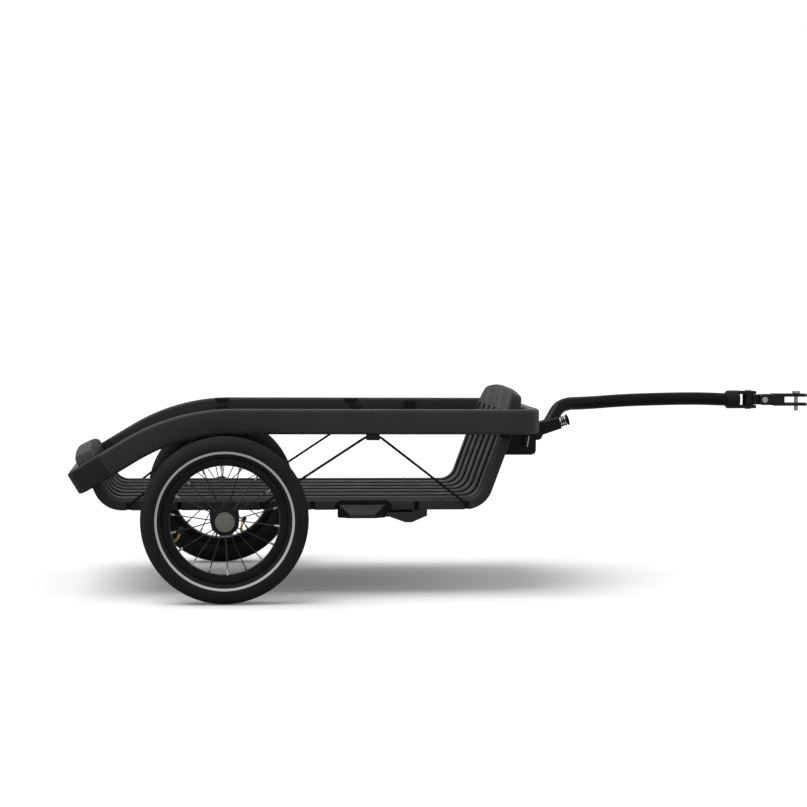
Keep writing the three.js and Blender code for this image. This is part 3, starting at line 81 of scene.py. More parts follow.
def at(point):
    """A point in millimetres from the axle, in the scene's metres."""
    x, y, z = point
    return Vector(((x + AXLE_X) * MM, y * MM, z * MM))


def linked(name, data):
    obj = bpy.data.objects.new(name, data)
    bpy.context.scene.collection.objects.link(obj)
    return obj


# Camera
CAMERA_PLACE = Vector((-479.29, -4066.2, 534.65))
CAMERA_YAW = math.radians(5.4075)
CAMERA_PITCH = math.radians(-2.7223)
CAMERA_ROLL = math.radians(0.3542)
FOCAL_PIXELS = 2131.48
FRAME_PIXELS = 807
SENSOR = 36.0

camera_data = bpy.data.cameras.new("camera")
camera_data.sensor_width = SENSOR
camera_data.lens = FOCAL_PIXELS / FRAME_PIXELS * SENSOR
camera = linked("camera", camera_data)
camera.matrix_world = (
    Matrix.Translation(CAMERA_PLACE * MM)
    @ Matrix.Rotation(-CAMERA_YAW, 4, "Z")
    @ Matrix.Rotation(math.pi / 2 + CAMERA_PITCH, 4, "X")
    @ Matrix.Rotation(CAMERA_ROLL, 4, "Z")
)
bpy.context.scene.camera = camera


def slope_axes(turn):
    """The directions along and out of a surface that is turned up by an angle."""
    along = Vector((math.cos(turn), 0, math.sin(turn)))
    return along, Vector((-math.sin(turn), 0, math.cos(turn)))


# Rails, as in the model
JOINT_GAP = 0.3
DECK_HALF = 225
RAIL_HEIGHT, RAIL_THICK, RAIL_CORNER = 45, 24, 6
RAIL_MIDDLE, RAIL_OUTER = 318.5, DECK_HALF + RAIL_THICK
RAIL_FRONT, RAIL_FRONT_RADIUS = 577, 48
RAIL_CORNER_X, RAIL_BEND_RADIUS, RAIL_SLOPE = -82.75, 352.5, math.radians(31.3)
RAIL_TAIL_REACH = 218.75
RAIL_CENTRE_Y = RAIL_OUTER - RAIL_THICK / 2
BEND_TANGENT = RAIL_BEND_RADIUS * math.tan(RAIL_SLOPE / 2)
RAIL_BEND_START = RAIL_CORNER_X + BEND_TANGENT
RAIL_TAIL = RAIL_TAIL_REACH - BEND_TANGENT
BEND_CENTRE = Vector((RAIL_BEND_START, 0, RAIL_MIDDLE - RAIL_BEND_RADIUS))
TAIL_UP = slope_axes(RAIL_SLOPE)[1]
TAIL_ALONG = -slope_axes(RAIL_SLOPE)[0]
BEND_END = BEND_CENTRE + TAIL_UP * RAIL_BEND_RADIUS
BEND_STEPS, CORNER_STEPS = 28, 16
CAP_START, CAP_REACH, CAP_CORNER, CAP_EDGE, CAP_END_EDGE, CAP_INNER_CORNER = 54, 69, 34, 4.5, 9, 3

# Deck, as in the model
DECK_TOP, DECK_DEPTH, DECK_SKIN, SKIRT_WALL, SKIRT_CHAMFER, CHAMFER_RUN = 180, 22, 5, 14, 7, 11
DECK_BEND, DECK_BEND_STEPS, WALL_SETBACK, SETBACK_PACE = 30, 14, 3, 1.5
SKIRT_EDGE, CHAMFER_EDGE, TOP_EDGE, LIP_EDGE = 1, 1.5, 2, 1.2
FRONT_CORNER, REAR_CORNER = 459.2, -202.3
FRONT_LEAN, REAR_LEAN = math.radians(20), math.radians(26)
GROOVES, GROOVE_MARGIN, GROOVE_WIDE, GROOVE_NARROW, GROOVE_DEPTH = 6, 52.5, 28, 20, 12
GROOVE_PITCH = 2 * (DECK_HALF - GROOVE_MARGIN) / (GROOVES - 1)
GROOVE_PLACES = [(i - (GROOVES - 1) / 2) * GROOVE_PITCH for i in range(GROOVES)]
GROOVE_FADE = ((-16, 1), (-7, 0.82), (-2, 0.45), (0, 0.1))
FRONT_HEAD = {"top": 377.7, "skirt_top": 291, "groove_top": 336, "half": DECK_HALF - 13, "corner": 56}
REAR_HEAD = {"top": 271, "skirt_top": 222, "groove_top": 250, "half": DECK_HALF - 29, "corner": 36}
HEAD_CROWN, HEAD_EDGE, HEAD_WALL, HEAD_LAP, HEAD_STEPS = 8, 4, 5, 6, 10
LIP_DROP, SIDEWAYS, FLATWAYS = 0.2, 0.4, 0.6
BULGE_START, BULGE_RUN, REAR_BULGE = 58, 26, 9
NOTCH_PLACES = (-170.6, -80.6, 68.4, 159.4, 348.4, 440.4)
NOTCH_WIDTH, NOTCH_DEPTH, OPENING_DEPTH, OVERCUT = 8, 4, 11, 2
RECESS_REAR, RECESS_FRONT, RECESS_TOP, RECESS_SLOPE, RECESS_TAPER = 198.4, 304.4, 175, 9, 7

# Wheels and their axles, as in the model
WHEEL_RADIUS, HALF_TRACK, TYRE_WIDTH = 148.5, DECK_HALF + 85, 47
TYRE_STEPS, RIM_STEPS, HUB_STEPS, AXLE_STEPS, BUTTON_STEPS = 324, 160, 144, 48, 96
RIM_FLANGE, RIM_WELL, RIM_INNER, RIM_WIDTH, RIM_WALL, RIM_SHOULDER = 110, 100, 97, 32, 3, 0.56
BEAD_BULGE = ((112.5, 2.6), (116, 5.6))
SIDEWALL = ((121.5, 0.92), (127, 1), (133, 0.97), (138.5, 0.86), (142.6, 0.7), (145.8, 0.5), (147.8, 0.26))
TYRE_WALL, BEAD_DEPTH, LINING = 5, 4, ((138, 0.62), (124, 0.76))
TREAD_FOOT, RIB_HALF, RIB_SIDE, RIB_DEPTH = 140.5, 2.2, 4.4, 1.1
BLOCKS, BLOCK_GAP, BLOCK_DEPTH, BLOCK_SLANT = 54, 0.3, 1.2, 0.35 / 19 / 6
STRIPE_RADII, STRIPE_OUT = (119.2, 123.4), 0.82
HUB_WIDTH, HUB_FLANGE, HUB_FLANGE_WIDTH, HUB_CORE, HUB_BORE = 52, 26, 5, 14, 11.4
HUB_FACE_RADII, HUB_STEP, HUB_SEAT, HUB_WAIST, FLANGE_STEP = (20.8, 21.4), 1.2, 7.3, 16, 3
SCALLOP_DEPTH, SCALLOP_WIDTH = 1.1, 1.5
SPOKES, SPOKE_RADIUS, SPOKE_FOOT, SPOKE_LAP = 18, 1.0, 3, 0.6
NIPPLE_RADIUS, NIPPLE_LENGTH, NIPPLE_NECK, NIPPLE_FLARE = 2.0, 9, 1.5, 1.15
SPOKE_PHASE = {"left": math.radians(16.3), "right": math.radians(6.5)}
VALVE_ANGLE = {"left": math.radians(64.5), "right": math.radians(157.6)}
VALVE_RADIUS, VALVE_CAP_RADIUS, VALVE_CAP_LENGTH, VALVE_SEAT = 2.6, 4.2, 12, RIM_INNER * 0.995
VALVE_REACH, VALVE_KNEE, VALVE_SWING, VALVE_LEAN, VALVE_STEPS = 16, 7.5, 10.5, 8, 12
CAP_SKIRT, CAP_SKIRT_LENGTH, CAP_TIP = 0.5, 0.8, 1
CORE = 0.01
AXLE_RADIUS, AXLE_COLLAR, AXLE_HEAD, AXLE_HEAD_WIDTH, AXLE_TIP, AXLE_CHAMFER = 6, 9, 20, 7, 226, 1.2
AXLE_GROOVE = ((9, 0), (10, 0.5), (12, 0.5), (13, 0))
BUTTON_RADIUS, BUTTON_THICK, BUTTON_POCKET, BUTTON_TRAVEL, BUTTON_FACE = 17.3, 5, 5, 3, 8
BUTTON_RIM = ((0, 1.4), (0.4, 0.6), (1.2, 0.2), (2.2, 0.1), (2.8, 0.6), (3.4, 0.6), (4, 0.2))
RECEIVER_OUTER = DECK_HALF + 47
HUB_OUTER_Y = HALF_TRACK + HUB_WIDTH / 2
HUB_INNER_Y = HALF_TRACK - HUB_WIDTH / 2

# Fittings on the frame, with outlines seen from the side
FITTING_LAP = 0.5
STRAP_HALF, STRAP_DROP, STRAP_THICK, STRAP_STEPS, STRAP_INSET = 14, 9, 2.5, 16, 1
BLOCK_CORNERS, BLOCK_THICK = ((367, 322), (389, 322), (389, 337), (367, 337)), 7
BRACKET_HALF, POCKET_DEPTH = 27, 5
POCKET_CORNERS = ((555, 262), (575, 262), (575, 285), (555, 285))
CATCH_CORNERS = ((580, 259), (581.8, 259), (585.6, 280), (583.8, 280))
CATCH_BACK, CATCH_FRONT = -0.4, 0.2
LEG_GAP_CORNERS, LEG_GAP_DEPTH = ((296, 160), (345, 160), (339, 153.5), (296, 153)), 5

# Cords, as in the model
CORD_RADIUS, CLIP_WIDTH, CLIP_DROP, CHORD_TURN = 2.25, 23, 10, RAIL_SLOPE / 10
MIDDLE_CLIP, REAR_CLIP = 267.4, 0
CORD_TURN_HEIGHT, CORD_FOOT_HEIGHT, CORD_BEND, CORD_LEAD = 168, 161, 3.5, 2

# Tow arm, as in the model
FOLD_AXIS = Vector((601, 0, 282))
SOCKET_RISE = math.radians(17)
SOCKET_LENGTH, SOCKET_LIFT, SEAT_LIFT = 51.1, 8.25, 6.5
SOCKET_AXIS, SOCKET_UP = slope_axes(SOCKET_RISE)
SOCKET_NOSE = FOLD_AXIS + SOCKET_UP * SOCKET_LIFT + SOCKET_AXIS * SOCKET_LENGTH
SPRING_RADIUS, SPRING_WIRE, SPRING_TURNS, SPRING_LENGTH, LOCK_TRAVEL = 9, 1.2, 3, 15, 4
SPRING_STEPS = 24
ARM_RADIUS, ARM_START, ARM_SPAN, ARM_STEPS = 12.7, Vector((621, 0, 293)), Vector((375, 90, 52.5)), 14
ARM_SHARES = (
    (0, 0, 0), (0.03, 0.13, 0.26), (0.077, 0.29, 0.71), (0.13, 0.44, 0.86), (0.2, 0.58, 0.88),
    (0.28, 0.7, 0.9), (0.4, 0.84, 0.95), (0.54, 0.94, 0.99), (0.83, 1, 1.03), (1, 1, 1),
)
SEAT_CUT_HALF, SEAT_CUT_DEPTH = 50, 60

# Sizes of the surfaces' marks
CLOUD_SIZE, GLOSS_SIZE, DRAWN_SIZE, TARNISH_SIZE = 90, 25, 0.7, 12
DUST_SIZE, MOULD_SIZE, STRAND_WIDTH, STRAND_LEAN, BEAD_SIZE = 35, 0.8, 6, 0.7, 0.8
WHITE = (1, 1, 1, 1)


# Materials
def linear(colour):
    """An sRGB colour from 0 to 255 as the shader's own linear values."""
    shares = [c / 255 for c in colour]
    return [c / 12.92 if c <= 0.04045 else ((c + 0.055) / 1.055) ** 2.4 for c in shares] + [1]


def scaled(colour, share):
    """A linear colour made lighter or darker."""
    return [min(1, c * share) for c in colour[:3]] + [1]


class Nodes:
    """A node tree, with short ways to add to it."""

    def __init__(self, tree):
        self.tree = tree

    def add(self, kind, inputs=(), **settings):
        node = self.tree.nodes.new(kind)
        for key, value in settings.items():
            setattr(node, key, value)
        for key, value in dict(inputs).items():
            self.feed(node.inputs[key], value)
        return node

    def feed(self, socket, value):
        if isinstance(value, bpy.types.NodeSocket):
            self.tree.links.new(value, socket)
        else:
            socket.default_value = value

    def mixed(self, fac, first, second):
        inputs = {"Factor": fac, "A": first, "B": second}
        return self.add("ShaderNodeMix", inputs, data_type="RGBA").outputs["Result"]


class Surface(Nodes):
    """A new material's node tree, with the parts that every surface here is made of."""

    def __init__(self, name):
        self.material = bpy.data.materials.new(name)
        self.material.use_nodes = True
        super().__init__(self.material.node_tree)
        self.shader = self.tree.nodes["Principled BSDF"]
        self.place = self.add("ShaderNodeTexCoord").outputs["Object"]

    def noise(self, size, detail=3.0):
        """A grey pattern whose marks are about size millimetres across."""
        inputs = {"Vector": self.place, "Scale": 1 / (size * MM), "Detail": detail}
        return self.add("ShaderNodeTexNoise", inputs).outputs["Fac"]

    def spread(self, fac, low, high, start=0.3, end=0.7):
        inputs = {"Value": fac, "From Min": start, "From Max": end, "To Min": low, "To Max": high}
        return self.add("ShaderNodeMapRange", inputs).outputs[0]

    def bumps(self, height, depth):
        return self.add("ShaderNodeBump", {"Height": height, "Distance": depth * MM}).outputs[0]

    def finished(self, colour, roughness, normal, specular=0.5, metallic=0.0):
        """Feeds the shader and hands over the material."""
        inputs = {"Base Color": colour, "Roughness": roughness, "Normal": normal,
                  "Specular IOR Level": specular, "Metallic": metallic}
        for key, value in inputs.items():
            self.feed(self.shader.inputs[key], value)
        return self.material


def coated(name, colour, roughness, specular=0.12, mottle=0.1, grain=0.04, grain_size=0.9):
    """Paint or moulded plastic: a mottled colour, an uneven gloss and a fine grain."""
    n = Surface(name)
    cloud = n.noise(CLOUD_SIZE, detail=1)
    speck = n.noise(grain_size, detail=2)
    base = linear(colour)
    tone = n.mixed(n.spread(cloud, low=0, high=1), scaled(base, 1 - mottle), scaled(base, 1 + mottle))
    tone = n.mixed(n.spread(speck, low=0, high=0.15), tone, scaled(base, share=1.6))
    gloss = n.spread(n.noise(GLOSS_SIZE), low=roughness * 0.88, high=roughness * 1.12)
    return n.finished(tone, gloss, n.bumps(speck, grain), specular)


def turned_metal(name, colour, roughness):
    """Bare metal with fine drawn marks."""
    n = Surface(name)
    marks = n.noise(DRAWN_SIZE)
    base = linear(colour)
    tone = n.mixed(n.spread(n.noise(TARNISH_SIZE), low=0, high=1), scaled(base, share=0.75), base)
    gloss = n.spread(marks, low=roughness * 0.8, high=roughness * 1.3)
    return n.finished(tone, gloss, n.bumps(marks, depth=0.01), metallic=1.0)


def rubber(name, colour, dusty):
    """Tyre rubber: matt, a little dusty, with fine moulding marks."""
    n = Surface(name)
    dust = n.noise(DUST_SIZE, detail=6)
    grey = n.spread(dust, low=0, high=0.35, start=0.45, end=0.75)
    tone = n.mixed(grey, linear(colour), linear(dusty))
    gloss = n.spread(dust, low=0.7, high=0.9)
    return n.finished(tone, gloss, n.bumps(n.noise(MOULD_SIZE), depth=0.06), specular=0.12)


def woven(name, colour):
    """A braided sleeve: two slanted rows of strands, one over the other."""
    n = Surface(name)
    rows = []
    for lean in (STRAND_LEAN, -STRAND_LEAN):
        place = n.add("ShaderNodeMapping", {"Vector": n.place, "Rotation": (0, lean, 0)}).outputs[0]
        inputs = {"Vector": place, "Scale": 1 / (STRAND_WIDTH * MM), "Distortion": 0.4, "Detail": 1}
        rows.append(n.add("ShaderNodeTexWave", inputs).outputs["Fac"])
    weave = n.add("ShaderNodeMath", {0: rows[0], 1: rows[1]}, operation="MULTIPLY").outputs[0]
    base = linear(colour)
    tone = n.mixed(weave, base, scaled(base, share=2.2))
    gloss = n.spread(weave, low=0.75, high=0.9, start=0, end=1)
    return n.finished(tone, gloss, n.bumps(weave, depth=0.3), specular=0.12)


def reflective(name, colour):
    """The tyre's stripe: a pale band of tiny glass beads."""
    n = Surface(name)
    inputs = {"Vector": n.place, "Scale": 1 / (BEAD_SIZE * MM)}
    beads = n.add("ShaderNodeTexVoronoi", inputs).outputs["Distance"]
    base = linear(colour)
    tone = n.mixed(n.spread(beads, low=0, high=1), base, scaled(base, share=0.8))
    return n.finished(tone, n.spread(beads, low=0.35, high=0.55), n.bumps(beads, depth=0.03))


RAIL_PAINT = coated("rail_paint", (48, 48, 50), 0.5, specular=0.15, grain=0.03, grain_size=1.4)
DECK_PLASTIC = coated("deck_plastic", (34, 34, 33), 0.6, mottle=0.06)
# A lighter copy of the deck plastic for the leaning front head, as painted light
HEAD_PLASTIC_PAINTED_LIGHTER = coated("head_plastic_painted_lighter", (40, 40, 39), 0.6, mottle=0.06)
# A lighter copy of the deck plastic, painted light: for the skirts' side faces, the rear head and its lip
DECK_PLASTIC_PAINTED_LIGHTER = coated("deck_plastic_painted_lighter", (46, 46, 45), 0.6, mottle=0.06)
# Near black painted shade for the walls and floors of grooves and gaps
RECESS_PAINTED_SHADE = coated("recess_painted_shade", (13, 13, 12), 0.7, specular=0.08, grain=0.06)
BLACK_PLASTIC = coated("black_plastic", (24, 24, 24), 0.55, grain=0.06)
CAP_PLASTIC = coated("corner_plastic", (36, 36, 35), 0.55, grain=0.06)
STAND_PLASTIC = coated("stand_plastic", (47, 47, 46), 0.55, grain=0.06)
# A lighter copy of the stand plastic for the foot's upward faces, as painted light
FOOT_TOP_PAINTED_LIGHT = coated("foot_top_painted_light", (60, 60, 59), 0.55, grain=0.06)
VALVE_PLASTIC = coated("valve_plastic", (44, 44, 46), 0.5)
SHAFT_STEEL = coated("shaft_steel", (46, 46, 46), 0.45)
RIM_PAINT = coated("rim_paint", (20, 20, 20), 0.4, specular=0.1)
HUB_PLASTIC = coated("hub_shell", (28, 28, 28), 0.5)
BUTTON_PLASTIC = coated("button_plastic", (108, 108, 101), 0.4, specular=0.2, mottle=0.06)
ARM_PAINT = coated("arm_paint", (13, 13, 14), 0.18, specular=0.1, grain=0.01)
STEEL = turned_metal("zinc_steel", (170, 172, 174), 0.3)
SPOKE_STEEL = turned_metal("spoke_steel", (60, 61, 62), 0.4)
DARK_STEEL = coated("black_steel", (26, 26, 27), 0.34, specular=0.15)
BRASS = turned_metal("brass", (245, 225, 150), 0.3)
TYRE_RUBBER = rubber("tyre_rubber", (29, 30, 30), dusty=(50, 50, 49))
STRIPE = reflective("stripe", (205, 206, 208))
CORD = woven("cord_sleeve", (18, 18, 18))


# Mesh building. A shape is a list of points and a list of faces.
def face_outward(mesh):
    build = bmesh.new()
    build.from_mesh(mesh)
    bmesh.ops.recalc_face_normals(build, faces=build.faces)
    build.to_mesh(mesh)
    build.free()


def closed_mesh(name, shape, sign=1):
    """A shape's mesh with its faces outward, mirrored where sign is -1."""
    points, faces = shape
    mesh = bpy.data.meshes.new(name)
    mesh.from_pydata([at((x, y * sign, z)) for x, y, z in points], [], faces)
    face_outward(mesh)
    return mesh


def dressed(name, mesh, body, slot, materials, replaced=(), crease=38):
    """A mesh as a piece that is smooth but for its sharp edges and rides on a body."""
    face_outward(mesh)
    mesh.shade_smooth()
    mesh.set_sharp_from_angle(angle=math.radians(crease))
    obj = linked(name, mesh)
    for material in materials:
        mesh.materials.append(material)
    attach(obj, body)
    if replaced:
        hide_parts(*replaced)
    return obj


def piece(name, shape, body, slot, materials, replaced=(), sign=1, crease=38):
    """A shape dressed as a piece, on the left or mirrored to the right."""
    return dressed(name, closed_mesh(name, shape, sign), body, slot, materials, replaced, crease)


def skin(rings, looped=False):
    """A skin through rings of points, with flat ends unless it closes on itself."""
    count = len(rings[0])
    points = [p for ring in rings for p in ring]
    faces = []
    for r in range(len(rings) if looped else len(rings) - 1):
        a, b = r * count, (r + 1) % len(rings) * count
        for i in range(count):
            j = (i + 1) % count
            faces.append((a + i, a + j, b + j, b + i))
    if not looped:
        faces.append(tuple(range(count)))
        faces.append(tuple(range(len(points) - count, len(points))))
    return points, faces


def slab(outline, low, high):
    """An outline seen from the side, carried from one place across to another."""
    return skin([[Vector((p[0], y, p[1])) for p in outline] for y in (low, high)])


def rounded(corners, radius, steps=4, most=0.48, least=0.01):
    """A closed outline through the corners, each an arc that takes up at most a share of its sides."""
    outline = []
    for i, corner in enumerate(corners):
        here = Vector(corner[:2])
        back = Vector(corners[i - 1][:2]) - here
        ahead = Vector(corners[(i + 1) % len(corners)][:2]) - here
        angle = back.angle(ahead)
        asked = corner[2] if len(corner) > 2 else radius
        reach = min(asked / math.tan(angle / 2), back.length * most, ahead.length * most)
        arc = reach * math.tan(angle / 2)
        if arc < least:
            outline.append(here)
            continue
        middle = here + (back.normalized() + ahead.normalized()).normalized() * arc / math.sin(angle / 2)
        start = here + back.normalized() * reach - middle
        end = here + ahead.normalized() * reach - middle
        swing = math.atan2(start.x * end.y - start.y * end.x, start.dot(end))
        for k in range(steps + 1):
            outline.append(middle + Matrix.Rotation(swing * k / steps, 2) @ start)
    return outline


def ring_at(outline, origin, across, up):
    return [origin + across * p[0] + up * p[1] for p in outline]


def rail_outline():
    w, h = RAIL_THICK / 2, RAIL_HEIGHT / 2
    return rounded([(w, h), (-w, h), (-w, -h), (w, -h)], RAIL_CORNER, steps=6)


def quarter(steps):
    return [i / steps * math.pi / 2 for i in range(steps + 1)]


def edge_levels(edge, depth, steps):
    """How far in and how deep each ring of a plate with rounded edges lies."""
    levels = []
    for angle in quarter(steps):
        levels.append((edge * (1 - math.sin(angle)), edge * (1 - math.cos(angle))))
    return levels + [(inset, depth - low) for inset, low in reversed(levels)]


def turned(profile, steps, centre, wobble=None):
    """A closed profile of (radius, y) turned about the axle's line through centre."""
    rings = []
    for i in range(steps):
        angle = math.tau * i / steps
        radial = Vector((math.cos(angle), 0, -math.sin(angle)))
        ring = []
        for r, y in profile:
            shift = wobble(angle, r, y) if wobble else 0
            ring.append(centre + radial * (r + shift) + ACROSS * y)
        rings.append(ring)
    return skin(rings, looped=True)


def tube(path, radius, sides=16, start_up=UP):
    """A round tube along a path; radius is one number or one for each point."""
    radii = radius if isinstance(radius, list) else [radius] * len(path)
    rings = []
    up = start_up
    for i, origin in enumerate(path):
        along = (path[min(i + 1, len(path) - 1)] - path[max(i - 1, 0)]).normalized()
        up = (up - along * up.dot(along)).normalized()
        across = along.cross(up)
        ring = []
        for k in range(sides):
            angle = math.tau * k / sides
            ring.append(origin + (across * math.cos(angle) + up * math.sin(angle)) * radii[i])
        rings.append(ring)
    return skin(rings)


def smooth_path(points, steps, least=1e-6):
    """A smooth path through the points, which passes through each of them."""
    points = [Vector(p) for p in points]
    ends = [points[0] * 2 - points[1]] + points + [points[-1] * 2 - points[-2]]
    path = []
    for a, b, c, d in zip(ends, ends[1:], ends[2:], ends[3:]):
        t0, t1, t2 = (math.sqrt(max((q - p).length, least)) for p, q in ((a, b), (b, c), (c, d)))
        out = ((b - a) / t0 - (c - a) / (t0 + t1) + (c - b) / t1) * t1
        back = ((c - b) / t1 - (d - b) / (t1 + t2) + (d - c) / t2) * t1
        for k in range(steps):
            s = k / steps
            cubic = b * 2 - c * 2 + out + back
            square = c * 3 - b * 3 - out * 2 - back
            path.append(b + out * s + square * s ** 2 + cubic * s ** 3)
    return path + [points[-1]]


def carve(mesh, cutters, wall=None):
    """Cuts shapes out of a closed mesh; the cut faces take the material wall, if one is named."""
    whole = linked("whole", mesh)
    tools = []
    for shape in cutters:
        tool = linked("cutter", closed_mesh("cutter", shape))
        if wall:
            tool.data.materials.append(wall)
        tools.append(tool)
        cut = whole.modifiers.new("cut", "BOOLEAN")
        cut.operation, cut.solver, cut.object = "DIFFERENCE", "EXACT", tool
        cut.material_mode = "TRANSFER" if wall else "INDEX"
    bpy.context.view_layer.update()
    carved = bpy.data.meshes.new_from_object(whole.evaluated_get(bpy.context.evaluated_depsgraph_get()))
    for obj in [whole] + tools:
        bpy.data.objects.remove(obj)
    return carved


def soften(obj, width, segments=3, angle=30):
    """Rounds the sharp edges of a piece."""
    bevel = obj.modifiers.new("edges", "BEVEL")
    bevel.width = width * MM
    bevel.segments = segments
    bevel.limit_method = "ANGLE"
    bevel.angle_limit = math.radians(angle)
    bevel.harden_normals = True
    bevel.use_clamp_overlap = True
    return obj


def copied(node, join=0.01, flat=0.5):
    """A CAD node's mesh in a new piece, with its split corners joined and its flat faces whole."""
    mesh = nodes[node].data.copy()
    build = bmesh.new()
    build.from_mesh(mesh)
    bmesh.ops.remove_doubles(build, verts=build.verts, dist=join * MM)
    bmesh.ops.dissolve_limit(build, angle_limit=math.radians(flat), verts=build.verts, edges=build.edges)
    fresh = bpy.data.meshes.new(node)
    build.to_mesh(fresh)
    build.free()
    return fresh


def dress_node(node, material, slot, width, cutters=(), inside=None):
    """A rounded copy of a CAD node, in its place and with a finished surface."""
    mesh = copied(node)
    mesh.materials.append(material)
    if cutters:
        mesh = carve(mesh, cutters, inside)
    obj = dressed(node + "_skin", mesh, nodes[node]["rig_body"], slot, [], (node,), crease=32)
    return soften(obj, width)


def dress_black(node, width):
    dress_node(node, BLACK_PLASTIC, "black_plastic", width)


def dress_steel(node, width):
    dress_node(node, STEEL, "bare_steel", width)


# Rails, rear corners and the crossbar
def make_rails():
    outline = rail_outline()
    shift = ACROSS * RAIL_CENTRE_Y
    tail = BEND_END + TAIL_ALONG * (CAP_START - JOINT_GAP) + shift
    rings = [ring_at(outline, tail, ACROSS, TAIL_UP)]
    for i in range(BEND_STEPS + 1):
        up = slope_axes(RAIL_SLOPE * (1 - i / BEND_STEPS))[1]
        rings.append(ring_at(outline, BEND_CENTRE + up * RAIL_BEND_RADIUS + shift, ACROSS, up))
    front = RAIL_FRONT - RAIL_THICK / 2
    corner = Vector((front - RAIL_FRONT_RADIUS, RAIL_CENTRE_Y - RAIL_FRONT_RADIUS, RAIL_MIDDLE))
    for angle in quarter(CORNER_STEPS):
        across = Vector((math.sin(angle), math.cos(angle), 0))
        rings.append(ring_at(outline, corner + across * RAIL_FRONT_RADIUS, across, UP))
    rings.append(ring_at(outline, Vector((front, JOINT_GAP / 2, RAIL_MIDDLE)), Vector((1, 0, 0)), UP))
    for side, sign in SIDES.items():
        node = "side_rail_" + side
        obj = piece(node + "_tube", skin(rings), "frame", "frame_coat", [RAIL_PAINT], (node,), sign)
        soften(obj, width=0.4, segments=2, angle=60)


def cap_outline(inset):
    """The corner piece seen from above its slope, drawn in from its outer edges."""
    inner_y = RAIL_OUTER - CAP_REACH
    inner_x = RAIL_TAIL - RAIL_THICK + inset
    end = RAIL_TAIL - inset * CAP_END_EDGE / CAP_EDGE
    corners = [
        (CAP_START, DECK_HALF + inset, 0),
        (inner_x, DECK_HALF + inset, CAP_INNER_CORNER + inset),
        (inner_x, inner_y, 0),
        (end, inner_y, 0),
        (end, RAIL_OUTER - inset, CAP_CORNER - inset),
        (CAP_START, RAIL_OUTER - inset, 0),
    ]
    return rounded(corners, 0, steps=14)


def make_rear_corners():
    rings = []
    for inset, low in edge_levels(CAP_EDGE, RAIL_HEIGHT, steps=6):
        origin = BEND_END + TAIL_UP * (low - RAIL_HEIGHT / 2)
        rings.append(ring_at(cap_outline(inset), origin, TAIL_ALONG, ACROSS))
    for side, sign in SIDES.items():
        node = "rear_corner_" + side
        finish = ("frame", "black_plastic", [CAP_PLASTIC], (node,), sign)
        piece(node + "_cap", skin(rings), *finish, crease=32)


def make_crossbar():
    half = RAIL_OUTER - CAP_REACH - JOINT_GAP
    origin = BEND_END + TAIL_ALONG * (RAIL_TAIL - RAIL_THICK / 2)
    shape = skin([ring_at(rail_outline(), origin + ACROSS * y, TAIL_ALONG, TAIL_UP) for y in (-half, half)])
    piece("rear_crossbar_tube", shape, "frame", "frame_coat", [RAIL_PAINT], ("rear_crossbar",))


# Deck tray
def deck_outline(half):
    """The floor's section: skirts, slats with rounded lips, and grooves."""
    top, under = [], []
    for y in GROOVE_PLACES:
        wide, narrow = GROOVE_WIDE / 2, GROOVE_NARROW / 2
        top += [(y - wide, 0), (y - narrow, -GROOVE_DEPTH), (y + narrow, -GROOVE_DEPTH), (y + wide, 0)]
        wide, narrow = wide + DECK_SKIN / 2, narrow + DECK_SKIN / 2
        low = -GROOVE_DEPTH - DECK_SKIN
        under += [(y - wide, -DECK_SKIN), (y - narrow, low), (y + narrow, low), (y + wide, -DECK_SKIN)]
    inner = half - SKIRT_WALL
    right = [
        (-half, -DECK_DEPTH, SKIRT_EDGE), (-half, -SKIRT_CHAMFER, CHAMFER_EDGE),
        (-half + CHAMFER_RUN, 0, TOP_EDGE),
    ]
    right_under = [
        (-inner + DECK_SKIN, -DECK_SKIN, SKIRT_EDGE), (-inner, -SKIRT_CHAMFER, SKIRT_EDGE),
        (-inner, -DECK_DEPTH, SKIRT_EDGE),
    ]
    left, left_under = ([(-y, z, edge) for y, z, edge in reversed(c)] for c in (right, right_under))
    return rounded([*right, *top, *left, *left_under, *reversed(under), *right_under], LIP_EDGE, steps=3)


def climb_to(height, lean):
    return (height - DECK_TOP) / math.cos(lean)


def groove_strips(outline):
    """The outline's stretches that lie in a groove's walls and floor."""
    lip = next(i for i, p in enumerate(outline) if p.x > DECK_HALF - 1)
    inner = DECK_HALF - SKIRT_WALL
    low = {i for i in range(lip) if outline[i].y < -LIP_DROP and abs(outline[i].x) < inner}
    return {i for i in low if i + 1 in low}


def deck_cutters():
    """The cords' notches and the grip recesses, which narrow inward, in both skirts."""
    notches, recesses = [], []
    bottom, shoulder = DECK_TOP - DECK_DEPTH - OVERCUT, RECESS_TOP - RECESS_SLOPE
    for sign in SIDES.values():
        ys = sign * (DECK_HALF - OPENING_DEPTH), sign * (DECK_HALF + NOTCH_DEPTH)
        for place in NOTCH_PLACES:
            section = [(y, bottom) for y in ys]
            section += [(y, DECK_TOP - SKIRT_CHAMFER) for y in reversed(ys)]
            ends = (place - NOTCH_WIDTH / 2, place + NOTCH_WIDTH / 2)
            notches.append(skin([[Vector((x, y, z)) for y, z in section] for x in ends]))
        rings = []
        for reach, inset in ((-OPENING_DEPTH, RECESS_TAPER), (0, 0), (NOTCH_DEPTH, 0)):
            y = DECK_HALF + reach
            rear, front = RECESS_REAR + inset, RECESS_FRONT - inset
            outline = (
                (rear, bottom), (front, bottom), (front, shoulder), (front - RECESS_SLOPE, RECESS_TOP),
                (rear + RECESS_SLOPE, RECESS_TOP), (rear, shoulder),
            )
            rings.append([Vector((x, sign * y, z)) for x, z in outline])
        recesses.append(skin(rings))
    return notches, recesses


